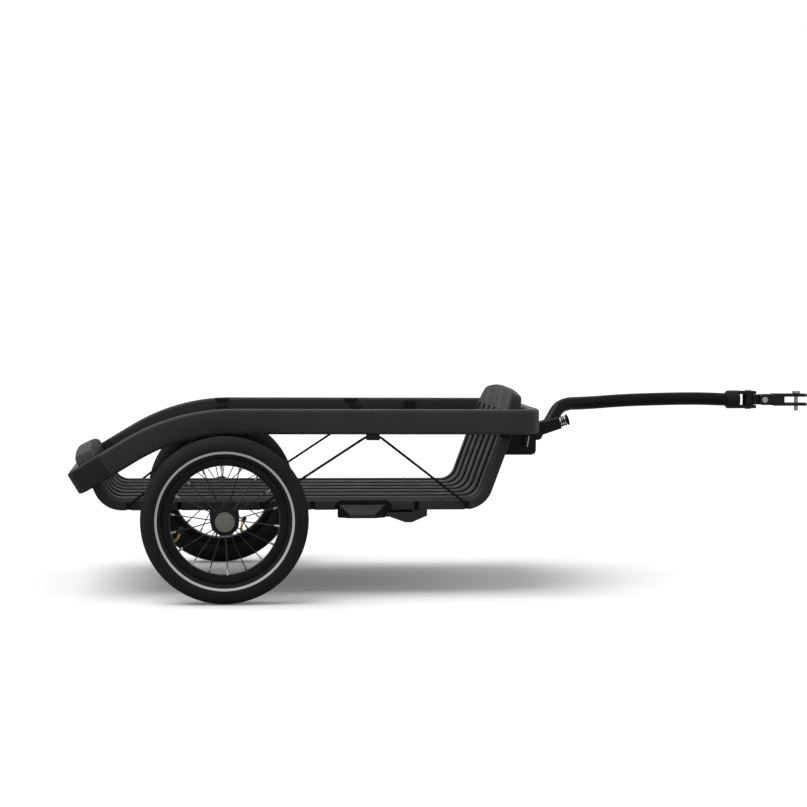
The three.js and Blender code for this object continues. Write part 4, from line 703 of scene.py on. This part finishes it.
def make_deck_floor():
    front_turn, rear_turn = math.pi / 2 - FRONT_LEAN, math.pi / 2 - REAR_LEAN
    floor, wall = deck_outline(DECK_HALF), deck_outline(DECK_HALF - WALL_SETBACK)
    rings = []

    def station(origin, turn, outline):
        rings.append(ring_at(outline, origin, ACROSS, slope_axes(turn)[1]))

    def bend(corner_x, turn, sign):
        reach = DECK_BEND * math.tan(turn / 2)
        centre = Vector((corner_x - sign * reach, 0, DECK_TOP + DECK_BEND))
        for i in range(DECK_BEND_STEPS + 1):
            share = i / DECK_BEND_STEPS if sign > 0 else 1 - i / DECK_BEND_STEPS
            angle = sign * turn * share
            outline = [a.lerp(b, min(1, share * SETBACK_PACE)) for a, b in zip(floor, wall)]
            station(centre - slope_axes(angle)[1] * DECK_BEND, angle, outline)

    rear_climb = slope_axes(-rear_turn)[0] * climb_to(REAR_HEAD["skirt_top"], REAR_LEAN)
    station(Vector((REAR_CORNER, 0, DECK_TOP)) - rear_climb, -rear_turn, wall)
    bend(REAR_CORNER, rear_turn, -1)
    bend(FRONT_CORNER, front_turn, 1)
    front_climb = slope_axes(front_turn)[0] * climb_to(FRONT_HEAD["skirt_top"], FRONT_LEAN)
    station(Vector((FRONT_CORNER, 0, DECK_TOP)) + front_climb, front_turn, wall)
    mesh = closed_mesh("deck_floor", skin(rings))
    # The grooves' faces take painted shade, and the skirts' side faces a lighter copy of the plastic as
    # painted light
    for material in (DECK_PLASTIC, RECESS_PAINTED_SHADE, DECK_PLASTIC_PAINTED_LIGHTER):
        mesh.materials.append(material)
    strips = groove_strips(floor)
    rim = DECK_HALF - CHAMFER_RUN - WALL_SETBACK
    for face in mesh.polygons[:-2]:
        if face.index % len(floor) in strips:
            face.material_index = 1
        elif abs(face.center.y) / MM > rim and abs(face.normal.y) > SIDEWAYS:
            face.material_index = 2
    notches, recesses = deck_cutters()
    # The notches' cut walls are painted black as shade; the recesses' walls keep the deck plastic
    mesh = carve(carve(mesh, notches, BLACK_PLASTIC), recesses, DECK_PLASTIC)
    dressed("deck_floor", mesh, "frame", "deck_plastic", [], ("deck_tray",), crease=30)


def head_outline(head, base, top, inset):
    """A wall's arched end: a flat foot, round shoulders and a low crown."""
    side = head["half"] - inset
    radius = head["corner"] - inset
    shoulder = top - HEAD_CROWN - head["corner"]
    outline = [Vector((-side, base + inset)), Vector((side, base + inset))]

    def arc(centre_y, start):
        for angle in quarter(HEAD_STEPS):
            y = centre_y + radius * math.cos(start + angle)
            outline.append(Vector((y, shoulder + radius * math.sin(start + angle))))

    arc(side - radius, 0)
    for i in range(1, 2 * HEAD_STEPS):
        share = i / HEAD_STEPS - 1
        rise = HEAD_CROWN * (1 - share ** 2)
        outline.append(Vector((-(side - radius) * share, shoulder + radius + rise)))
    arc(radius - side, math.pi / 2)
    return outline


def make_head(name, corner_x, sign, lean, head, bulge, plastic, edge, groove):
    """The arched end of a wall, hollowed from outside and grooved inside; its rim faces take edge, which is
    painted shade on the front head and a painted highlight on the rear head's lip.
    """
    along, up = slope_axes(sign * (math.pi / 2 - lean))
    climb, outward = along * sign, up * -1
    corner = Vector((corner_x, 0, DECK_TOP))
    base = climb_to(head["skirt_top"], lean) - HEAD_LAP
    top = climb_to(head["top"], lean)
    groove_top = climb_to(head["groove_top"], lean)

    def lay(inset, depth):
        ring = []
        for p in head_outline(head, base, top, inset):
            share = min(max((p.y - BULGE_START) / BULGE_RUN, 0), 1)
            swell = bulge * share ** 2 * (3 - 2 * share) * depth / DECK_DEPTH
            ring.append(corner + ACROSS * p.x + climb * p.y + outward * (depth + swell))
        return ring

    levels = edge_levels(HEAD_EDGE, DECK_DEPTH, steps=5)
    plate = closed_mesh(name, skin([lay(*level) for level in levels]))
    plate.materials.append(plastic)
    floors = (GROOVE_DEPTH + DECK_SKIN, DECK_DEPTH + OVERCUT)
    pocket = skin([lay(HEAD_EDGE + HEAD_WALL, depth) for depth in floors])
    stations = [(base - OVERCUT, 1)] + [(groove_top + rise, depth) for rise, depth in GROOVE_FADE]
    wide, narrow = GROOVE_WIDE / 2, GROOVE_NARROW / 2
    grooves = []
    for y in GROOVE_PLACES:
        rings = []
        for place, depth in stations:
            right = [(-wide, -OVERCUT), (-wide, 0), (-narrow, GROOVE_DEPTH * depth)]
            section = right + [(-w, d) for w, d in reversed(right)]
            rings.append([corner + ACROSS * (y + w) + climb * place + outward * d for w, d in section])
        grooves.append(skin(rings))
    mesh = carve(carve(plate, [pocket]), grooves, groove)
    mesh.materials.append(edge)
    obj = dressed(name, mesh, "frame", "deck_plastic", [], ("deck_tray",), crease=30)
    # Rim faces that don't face outward take edge: painted shade on the front head, a painted highlight on
    # the rear one
    for face in obj.data.polygons:
        spot = face.center / MM
        rim = abs(spot.y) > head["half"] - HEAD_EDGE or spot.z > head["groove_top"] + HEAD_EDGE
        if rim and abs(face.normal.dot(outward)) < FLATWAYS:
            face.material_index = len(mesh.materials) - 1
    soften(obj, width=1.2, segments=2, angle=40)


# Wheels
def wheel_centre(sign):
    return Vector((0, sign * HALF_TRACK, WHEEL_RADIUS))


def mirrored(corners):
    """Corners (radius, y, edge) on one side of a wheel's middle, and then on the other."""
    return corners + [(r, -y, edge) for r, y, edge in reversed(corners)]


def tyre_profile():
    """The tyre's outside from one bead over the crown to the other, then back inside."""
    half = TYRE_WIDTH / 2
    bead = RIM_WIDTH / 2 - RIM_WALL - JOINT_GAP
    side = [(RIM_FLANGE + JOINT_GAP, bead, 0)] + [(r, bead + out, 0) for r, out in BEAD_BULGE]
    side += [(r, half * share, 0) for r, share in SIDEWALL] + [(WHEEL_RADIUS, 0, 0)]
    outside = [(p.x, p.y) for p in smooth_path(side, steps=4)]
    inside = [(WHEEL_RADIUS - TYRE_WALL, 0)] + [(r, half * share) for r, share in LINING]
    inside.append((RIM_WELL + RIM_WALL, bead - BEAD_DEPTH))
    foot = [(RIM_WELL + RIM_WALL, bead)]
    mirror = [(r, -y) for r, y in outside[:-1]][::-1]
    far_inside = [(r, -y) for r, y in inside[1:]][::-1]
    return foot + outside + mirror + [(r, -y) for r, y in foot] + far_inside + inside


def tread(angle, r, y):
    """How much the crown's pattern is cut in: a middle rib, and slanted blocks on both shoulders."""
    if r < TREAD_FOOT or abs(y) < RIB_HALF:
        return 0
    if abs(y) < RIB_SIDE:
        return -RIB_DEPTH
    slant = BLOCK_SLANT * (abs(y) - RIB_SIDE)
    share = (BLOCKS * (angle / math.tau + slant) + (0.5 if y > 0 else 0)) % 1
    return -BLOCK_DEPTH if share < BLOCK_GAP else 0


def make_tyre(side, sign):
    centre = wheel_centre(sign)
    shape = turned(tyre_profile(), TYRE_STEPS, centre, tread)
    node = "tyre_" + side
    finish = ("wheel_" + side, "tyre_rubber", [TYRE_RUBBER, STRIPE], (node,))
    obj = piece(node + "_rubber", shape, *finish, crease=30)
    middle = at(centre)
    for face in obj.data.polygons:
        out = face.center - middle
        radius = math.hypot(out.x, out.z) / MM
        outward = out.y * sign / MM > TYRE_WIDTH / 2 * STRIPE_OUT
        if outward and STRIPE_RADII[0] < radius < STRIPE_RADII[1]:
            face.material_index = 1


def make_rim(side, sign):
    half = RIM_WIDTH / 2
    corners = mirrored([
        (RIM_INNER, half * RIM_SHOULDER, 2), (RIM_INNER + RIM_WALL / 2, half, 2.5), (RIM_FLANGE, half, 1.2),
        (RIM_FLANGE, half - RIM_WALL, 1.2), (RIM_WELL, half - RIM_WALL, 1.5),
    ])
    shape = turned(rounded(corners, 1), RIM_STEPS, wheel_centre(sign))
    node = "rim_" + side
    piece(node + "_hoop", shape, "wheel_" + side, "rim_coat", [RIM_PAINT], (node,), crease=45)


def make_hub_shell(side, sign):
    half = HUB_WIDTH / 2
    face_inner, face_outer = HUB_FACE_RADII
    corners = mirrored([
        (HUB_BORE, half - HUB_SEAT, 0.3), (HUB_BORE, half, 0.4), (face_inner, half, 0.5),
        (face_outer, half - HUB_STEP, 0.5), (HUB_FLANGE - 1, half - HUB_STEP, 1),
        (HUB_FLANGE, half - FLANGE_STEP, 1), (HUB_FLANGE, half - HUB_FLANGE_WIDTH, 1),
        (HUB_CORE + 1, half - 2 * HUB_FLANGE_WIDTH, 4), (HUB_CORE, half - HUB_WAIST, 2),
    ])

    def scallop(angle, r, y):
        if r < HUB_FLANGE - SCALLOP_WIDTH:
            return 0
        shift = 0 if y * sign < 0 else math.pi / (SPOKES / 2)
        return -SCALLOP_DEPTH * (1 - math.cos((angle - SPOKE_PHASE[side] - shift) * SPOKES / 2)) / 2

    shape = turned(rounded(corners, 0, steps=3), HUB_STEPS, wheel_centre(sign), scallop)
    node = "hub_" + side
    piece(node + "_shell", shape, "wheel_" + side, "black_steel", [HUB_PLASTIC], (node,))


def add_part(whole, part):
    points, faces = whole
    offset = len(points)
    points.extend(part[0])
    faces.extend(tuple(i + offset for i in face) for face in part[1])


def make_spokes(side, sign):
    """Spokes from both flanges by turns, each with a nipple at the rim."""
    centre = wheel_centre(sign)
    spokes, nipples = ([], []), ([], [])
    radii = [SPOKE_RADIUS, NIPPLE_RADIUS, NIPPLE_RADIUS, NIPPLE_RADIUS * NIPPLE_FLARE]
    for i in range(SPOKES):
        angle = SPOKE_PHASE[side] + i / SPOKES * math.tau
        out = Vector((math.cos(angle), 0, -math.sin(angle)))
        flange_y = sign * (1 if i % 2 else -1) * (HUB_WIDTH - HUB_FLANGE_WIDTH) / 2
        foot = centre + out * (HUB_FLANGE - SPOKE_FOOT) + ACROSS * flange_y
        top = centre + out * (RIM_INNER + SPOKE_LAP)
        along = (top - foot).normalized()
        joint = top - along * NIPPLE_LENGTH
        add_part(spokes, tube([foot, foot.lerp(joint, 0.5), joint], SPOKE_RADIUS, sides=8))
        neck = along * NIPPLE_NECK
        add_part(nipples, tube([joint - neck, joint, top - neck, top], radii, sides=8))
    piece("spokes_" + side, spokes, "wheel_" + side, "black_steel", [SPOKE_STEEL])
    piece("nipples_" + side, nipples, "wheel_" + side, "bare_steel", [STEEL])


def make_valve(side, sign):
    turn = Matrix.Rotation(VALVE_ANGLE[side], 3, "Y")
    corners = ((VALVE_SEAT, 0, 0), (VALVE_SEAT - VALVE_KNEE, 0, 0),
               (VALVE_SEAT - VALVE_REACH, VALVE_LEAN, VALVE_SWING))
    foot, knee, tip = (wheel_centre(sign) + turn @ Vector((x, y * sign, z * sign)) for x, y, z in corners)
    path = []
    for i in range(VALVE_STEPS + 1):
        s = i / VALVE_STEPS
        path.append(foot * (1 - s) ** 2 + knee * 2 * s * (1 - s) + tip * s ** 2)
    node, body = "valve_" + side, "wheel_" + side
    piece(node + "_stem", tube(path, VALVE_RADIUS, sides=20), body, "valve_brass", [BRASS], (node,))
    lean = (tip - knee).normalized()
    end = tip + lean * VALVE_CAP_LENGTH
    radius = VALVE_CAP_RADIUS
    path = [tip, tip + lean * CAP_SKIRT_LENGTH, end - lean * CAP_TIP, end]
    cap = tube(path, [radius - CAP_SKIRT, radius, radius, radius - CAP_TIP], sides=20)
    piece(node + "_cap", cap, body, "black_plastic", [VALVE_PLASTIC])


def make_axle(side, sign):
    centre = Vector((0, 0, WHEEL_RADIUS))
    collar_inner, collar_outer = RECEIVER_OUTER + JOINT_GAP, HUB_INNER_Y - JOINT_GAP
    head_inner = HUB_OUTER_Y + JOINT_GAP
    head_outer = head_inner + AXLE_HEAD_WIDTH
    floor = head_outer - BUTTON_POCKET
    pin = [
        (CORE, AXLE_TIP), (AXLE_RADIUS - AXLE_CHAMFER, AXLE_TIP), (AXLE_RADIUS, AXLE_TIP + AXLE_CHAMFER),
        *((AXLE_RADIUS - depth, AXLE_TIP + run) for run, depth in AXLE_GROOVE),
        (AXLE_RADIUS, collar_inner), (AXLE_COLLAR, collar_inner), (AXLE_COLLAR, collar_outer),
        (AXLE_RADIUS, collar_outer), (AXLE_RADIUS, head_inner + 1), (CORE, head_inner + 1),
    ]
    pocket = BUTTON_RADIUS + JOINT_GAP
    head = rounded([
        (AXLE_RADIUS, head_inner, 0), (AXLE_HEAD, head_inner, 0.8), (AXLE_HEAD, head_outer, 1.6),
        (pocket, head_outer, 0.4), (pocket, floor, 0.2), (AXLE_RADIUS, floor, 0),
    ], 0.5)
    body, node = "axle_" + side, "wheel_axle_" + side
    piece(node + "_pin", turned(pin, AXLE_STEPS, centre), body, "bare_steel", [STEEL], (node,), sign)
    piece(node + "_head", turned(head, BUTTON_STEPS, centre), body, "black_steel", [BLACK_PLASTIC], (), sign)
    inner = floor + BUTTON_TRAVEL + JOINT_GAP
    outer = inner + BUTTON_THICK
    button = [
        (CORE, inner), (BUTTON_RADIUS, inner),
        *((BUTTON_RADIUS - inset, outer - drop) for inset, drop in BUTTON_RIM),
        (BUTTON_FACE, outer), (CORE, outer),
    ]
    node = "release_button_" + side
    finish = ("button_" + side, "button_plastic", [BUTTON_PLASTIC], (node,), sign)
    piece(node + "_cap", turned(button, BUTTON_STEPS, centre), *finish, crease=50)


# Cords
def clip_channel(x):
    """The middle of the channel in which a clip under the rail holds its cord."""
    bend = RAIL_BEND_RADIUS - RAIL_HEIGHT / 2
    run = max(RAIL_BEND_START - (x - CLIP_WIDTH / 2), 0)
    sag = bend * (1 - math.cos(CHORD_TURN)) if run > 0 else 0
    top = RAIL_MIDDLE - RAIL_HEIGHT / 2 - bend + math.sqrt(bend ** 2 - run ** 2) - sag - JOINT_GAP
    return Vector((x, RAIL_CENTRE_Y, top - CLIP_DROP / 2))


def notch_end(place):
    """A cord's foot under a notch, and its turn over the notch's edge."""
    clear = CORD_RADIUS + JOINT_GAP
    foot = Vector((place, DECK_HALF - NOTCH_DEPTH + clear, CORD_FOOT_HEIGHT))
    return [foot, Vector((place, DECK_HALF + clear, CORD_TURN_HEIGHT))]


def make_cords():
    lead = Vector((CORD_LEAD, 0, 0))
    mouth = Vector((CLIP_WIDTH / 2, 0, 0)) + lead
    middle, rear = clip_channel(MIDDLE_CLIP), clip_channel(REAR_CLIP)
    rise, fall = notch_end(NOTCH_PLACES[2]), notch_end(NOTCH_PLACES[5])[::-1]
    routes = {
        "side_cord_middle_": rise + [middle - mouth, middle + mouth] + fall,
        "side_cord_rear_": notch_end(NOTCH_PLACES[0]) + [rear - mouth, rear + mouth - lead],
    }
    for name, corners in routes.items():
        path = [corners[0]]
        for before, here, after in zip(corners, corners[1:], corners[2:]):
            reach = min(CORD_BEND, (here - before).length / 3, (after - here).length / 3)
            start = here + (before - here).normalized() * reach
            end = here + (after - here).normalized() * reach
            path += [start, (start + here * 2 + end) / 4, end]
        path.append(corners[-1])
        shape = tube(path, CORD_RADIUS, sides=12, start_up=ACROSS)
        for side, sign in SIDES.items():
            node = name + side
            piece(node + "_sleeve", shape, "frame", "cord_rubber", [CORD], (node,), sign, crease=60)


# Arm tube and lock spring
def make_arm_tube():
    """The bent tube, cut flat where it stands on its socket."""
    places = [ARM_START + Vector(s * a for s, a in zip(share, ARM_SPAN)) for share in ARM_SHARES]
    side = SOCKET_AXIS.cross(SOCKET_UP)
    half = SEAT_CUT_HALF
    corners = ((SEAT_LIFT, -half), (SEAT_LIFT, half), (-SEAT_CUT_DEPTH, half), (-SEAT_CUT_DEPTH, -half))
    starts = (SOCKET_NOSE - SOCKET_AXIS * 2 * SOCKET_LENGTH, SOCKET_NOSE)
    under = skin([ring_at(corners, start, SOCKET_UP, side) for start in starts])
    whole = tube(smooth_path(places, ARM_STEPS), ARM_RADIUS, sides=32)
    mesh = carve(closed_mesh("arm_tube", whole), [under])
    dressed("arm_tube_bend", mesh, "tow_arm", "arm_coat", [ARM_PAINT], ("arm_tube",), crease=50)


def make_lock_spring():
    side = SOCKET_UP.cross(SOCKET_AXIS)
    start = JOINT_GAP + SPRING_WIRE
    rise = (SPRING_LENGTH - 2 * start) / SPRING_TURNS
    path = []
    for i in range(SPRING_TURNS * SPRING_STEPS + 1):
        turn = i / SPRING_STEPS
        angle = turn * math.tau
        radial = SOCKET_UP * math.cos(angle) + side * math.sin(angle)
        path.append(SOCKET_NOSE + radial * SPRING_RADIUS + SOCKET_AXIS * (start + turn * rise))
    node = "lock_spring"
    finish = ("tow_arm", "black_steel", [DARK_STEEL], (node,))
    coil = tube(path, SPRING_WIRE, sides=12, start_up=SOCKET_AXIS)
    obj = piece(node + "_coil", coil, *finish, crease=60)
    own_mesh(obj)


# Fittings on the rails' inner faces
BLACK_FRAME = ("frame", "black_plastic", [BLACK_PLASTIC])


def make_rail_fittings():
    """Half-round ends of the clips' straps, and a small block near the front."""
    top = RAIL_MIDDLE + RAIL_HEIGHT / 2 - STRAP_INSET
    seat = DECK_HALF + FITTING_LAP
    for name, x in (("middle", MIDDLE_CLIP - STRAP_DROP), ("rear", REAR_CLIP)):
        outline = []
        for i in range(STRAP_STEPS + 1):
            angle = math.pi * (1 + i / STRAP_STEPS)
            outline.append((x + STRAP_HALF * math.cos(angle), top + STRAP_DROP * math.sin(angle)))
        strap = slab(outline, seat, DECK_HALF - STRAP_THICK)
        for side, sign in SIDES.items():
            piece(f"strap_end_{name}_{side}", strap, *BLACK_FRAME, (), sign)
    block = slab(rounded(BLOCK_CORNERS, radius=2, steps=3), seat, DECK_HALF - BLOCK_THICK)
    for side, sign in SIDES.items():
        obj = piece("rail_block_" + side, block, *BLACK_FRAME, (), sign)
        soften(obj, width=0.8, segments=2)


# Tow bracket
def make_tow_bracket():
    """The model's bracket with softened edges, and a pocket and a catch in each cheek."""
    node = "tow_bracket"
    pocket = rounded(POCKET_CORNERS, radius=4, steps=5)
    reaches = (BRACKET_HALF - POCKET_DEPTH, BRACKET_HALF + OVERCUT)
    mesh = carve(copied(node), [slab(pocket, *(sign * y for y in reaches)) for sign in SIDES.values()])
    mesh.materials.clear()
    obj = dressed(node + "_body", mesh, *BLACK_FRAME, (node,), crease=32)
    soften(obj, width=1.2)
    for side, sign in SIDES.items():
        ys = [sign * (BRACKET_HALF + lift) for lift in (CATCH_BACK, CATCH_FRONT)]
        catch = slab(rounded(CATCH_CORNERS, radius=1, steps=3), *ys)
        piece("tow_bracket_catch_" + side, catch, "frame", "bare_steel", [STEEL])


# Fittings that stand as the model has them
def dress_housing(side, sign):
    """A stand housing with the gap over the folded leg in its outer face, the gap's walls and floor painted
    near black as shade.
    """
    ys = (sign * (DECK_HALF - LEG_GAP_DEPTH), sign * (DECK_HALF + OVERCUT))
    gap = [slab(LEG_GAP_CORNERS, *ys)]
    dress_node("stand_housing_" + side, STAND_PLASTIC, "black_plastic", 1.5, gap, RECESS_PAINTED_SHADE)


def dress_foot(side):
    """A stand's foot: its upward faces painted lighter as light, and its slanted ends and its lower edge
    painted darker as shade.
    """
    obj = dress_node("stand_foot_" + side, FOOT_TOP_PAINTED_LIGHT, "black_plastic", 1.0)
    obj.data.materials.append(STAND_PLASTIC)
    obj.data.materials.append(BLACK_PLASTIC)
    leaning = 0.3
    for face in obj.data.polygons:
        if abs(face.normal.x) > leaning:
            face.material_index = 2
        elif face.normal.z < leaning:
            face.material_index = 1


def dress_fittings():
    for side, sign in SIDES.items():
        dress_black("axle_receiver_" + side, 1.5)
        dress_steel("beam_bolt_" + side, 0.5)
        for place in ("middle", "rear"):
            dress_black(f"cord_clip_{place}_{side}", 1.2)
        dress_housing(side, sign)
        dress_node("stand_leg_" + side, CAP_PLASTIC, "black_plastic", 1.2)
        dress_foot(side)
        for place in ("outer", "inner"):
            dress_steel(f"bearing_{place}_{side}", 0.4)
    dress_node("axle_beam", RAIL_PAINT, "frame_coat", 0.8)
    dress_node("stand_shaft", SHAFT_STEEL, "bare_steel", 0.6)
    dress_node("fold_pin", DARK_STEEL, "bare_steel", 0.8)
    dress_black("arm_socket", 1.0)
    dress_steel("lock_pin", 0.5)
    dress_black("lock_knob", 0.6)
    dress_black("coupling_housing", 1.0)
    for pin in ("yaw_pin", "pitch_pin", "hitch_pin"):
        dress_steel(pin, 0.5)
    dress_node("hitch_knuckle", DARK_STEEL, "black_steel", 1.0)
    dress_node("hitch_clevis", DARK_STEEL, "black_steel", 1.2)


# Studio
WORLD_LIGHT = 0.5
SUN_LIGHT, SUN_WIDTH, SUN_TURN = 1.9, math.radians(48), (math.radians(8), math.radians(-24), 0)
FLOOR_HALF, FLOOR_GREY, FLOOR_GLOW = 60, (0.5, 0.5, 0.5, 1), 0.08


def make_world():
    """Level light all round, which the camera and the glossy surfaces see as white."""
    world = bpy.data.worlds.new("studio")
    bpy.context.scene.world = world
    world.use_nodes = True
    world.node_tree.nodes.clear()
    n = Nodes(world.node_tree)
    path = n.add("ShaderNodeLightPath")
    shown = path.outputs["Is Camera Ray"]
    for ray in ("Is Glossy Ray", "Is Transmission Ray"):
        shown = n.add("ShaderNodeMath", {0: shown, 1: path.outputs[ray]}, operation="MAXIMUM").outputs[0]
    lit = n.add("ShaderNodeBackground", {"Color": WHITE, "Strength": WORLD_LIGHT})
    seen = n.add("ShaderNodeBackground", {"Color": WHITE, "Strength": 1.0})
    mix = n.add("ShaderNodeMixShader", {0: shown, 1: lit.outputs[0], 2: seen.outputs[0]})
    n.add("ShaderNodeOutputWorld", {"Surface": mix.outputs[0]})


def floor_material():
    """A pale matt floor, lifted to white for the camera where nothing shades it."""
    material = bpy.data.materials.new("floor")
    material.use_nodes = True
    material.node_tree.nodes.clear()
    n = Nodes(material.node_tree)
    seen = n.add("ShaderNodeLightPath").outputs["Is Camera Ray"]
    matt = n.add("ShaderNodeBsdfDiffuse", {"Color": n.mixed(seen, FLOOR_GREY, WHITE)})
    lift = n.add("ShaderNodeMath", {0: seen, 1: FLOOR_GLOW}, operation="MULTIPLY")
    glow = n.add("ShaderNodeEmission", {"Strength": lift.outputs[0]})
    both = n.add("ShaderNodeAddShader", {0: matt.outputs[0], 1: glow.outputs[0]})
    n.add("ShaderNodeOutputMaterial", {"Surface": both.outputs[0]})
    return material


def make_studio():
    bpy.context.scene.view_settings.view_transform = "Standard"
    make_world()
    sun_data = bpy.data.lights.new("overhead", "SUN")
    sun_data.energy = SUN_LIGHT
    sun_data.angle = SUN_WIDTH
    sun = linked("overhead", sun_data)
    sun.rotation_euler = SUN_TURN
    mesh = bpy.data.meshes.new("floor")
    h = FLOOR_HALF
    mesh.from_pydata([(-h, -h, 0), (h, -h, 0), (h, h, 0), (-h, h, 0)], [], [(0, 1, 2, 3)])
    mesh.materials.append(floor_material())
    floor = linked("floor", mesh)


make_rails()
make_rear_corners()
make_crossbar()
make_deck_floor()
# Front head: a lighter plate as painted light, its rim painted black as shade. Rear head: a lighter plate, a
# painted highlight on its lip, painted shade in its grooves
front_head_painted_light_and_shade = (HEAD_PLASTIC_PAINTED_LIGHTER, BLACK_PLASTIC, HEAD_PLASTIC_PAINTED_LIGHTER)
rear_head_painted_light_and_shade = (DECK_PLASTIC_PAINTED_LIGHTER, DECK_PLASTIC_PAINTED_LIGHTER, RECESS_PAINTED_SHADE)
make_head("deck_front_head", FRONT_CORNER, 1, FRONT_LEAN, FRONT_HEAD, 0, *front_head_painted_light_and_shade)
make_head("deck_rear_head", REAR_CORNER, -1, REAR_LEAN, REAR_HEAD, REAR_BULGE, *rear_head_painted_light_and_shade)
for wheel in SIDES.items():
    make_tyre(*wheel)
    make_rim(*wheel)
    make_hub_shell(*wheel)
    make_spokes(*wheel)
    make_valve(*wheel)
    make_axle(*wheel)
make_cords()
make_arm_tube()
make_lock_spring()
make_tow_bracket()
make_rail_fittings()
dress_fittings()
make_studio()
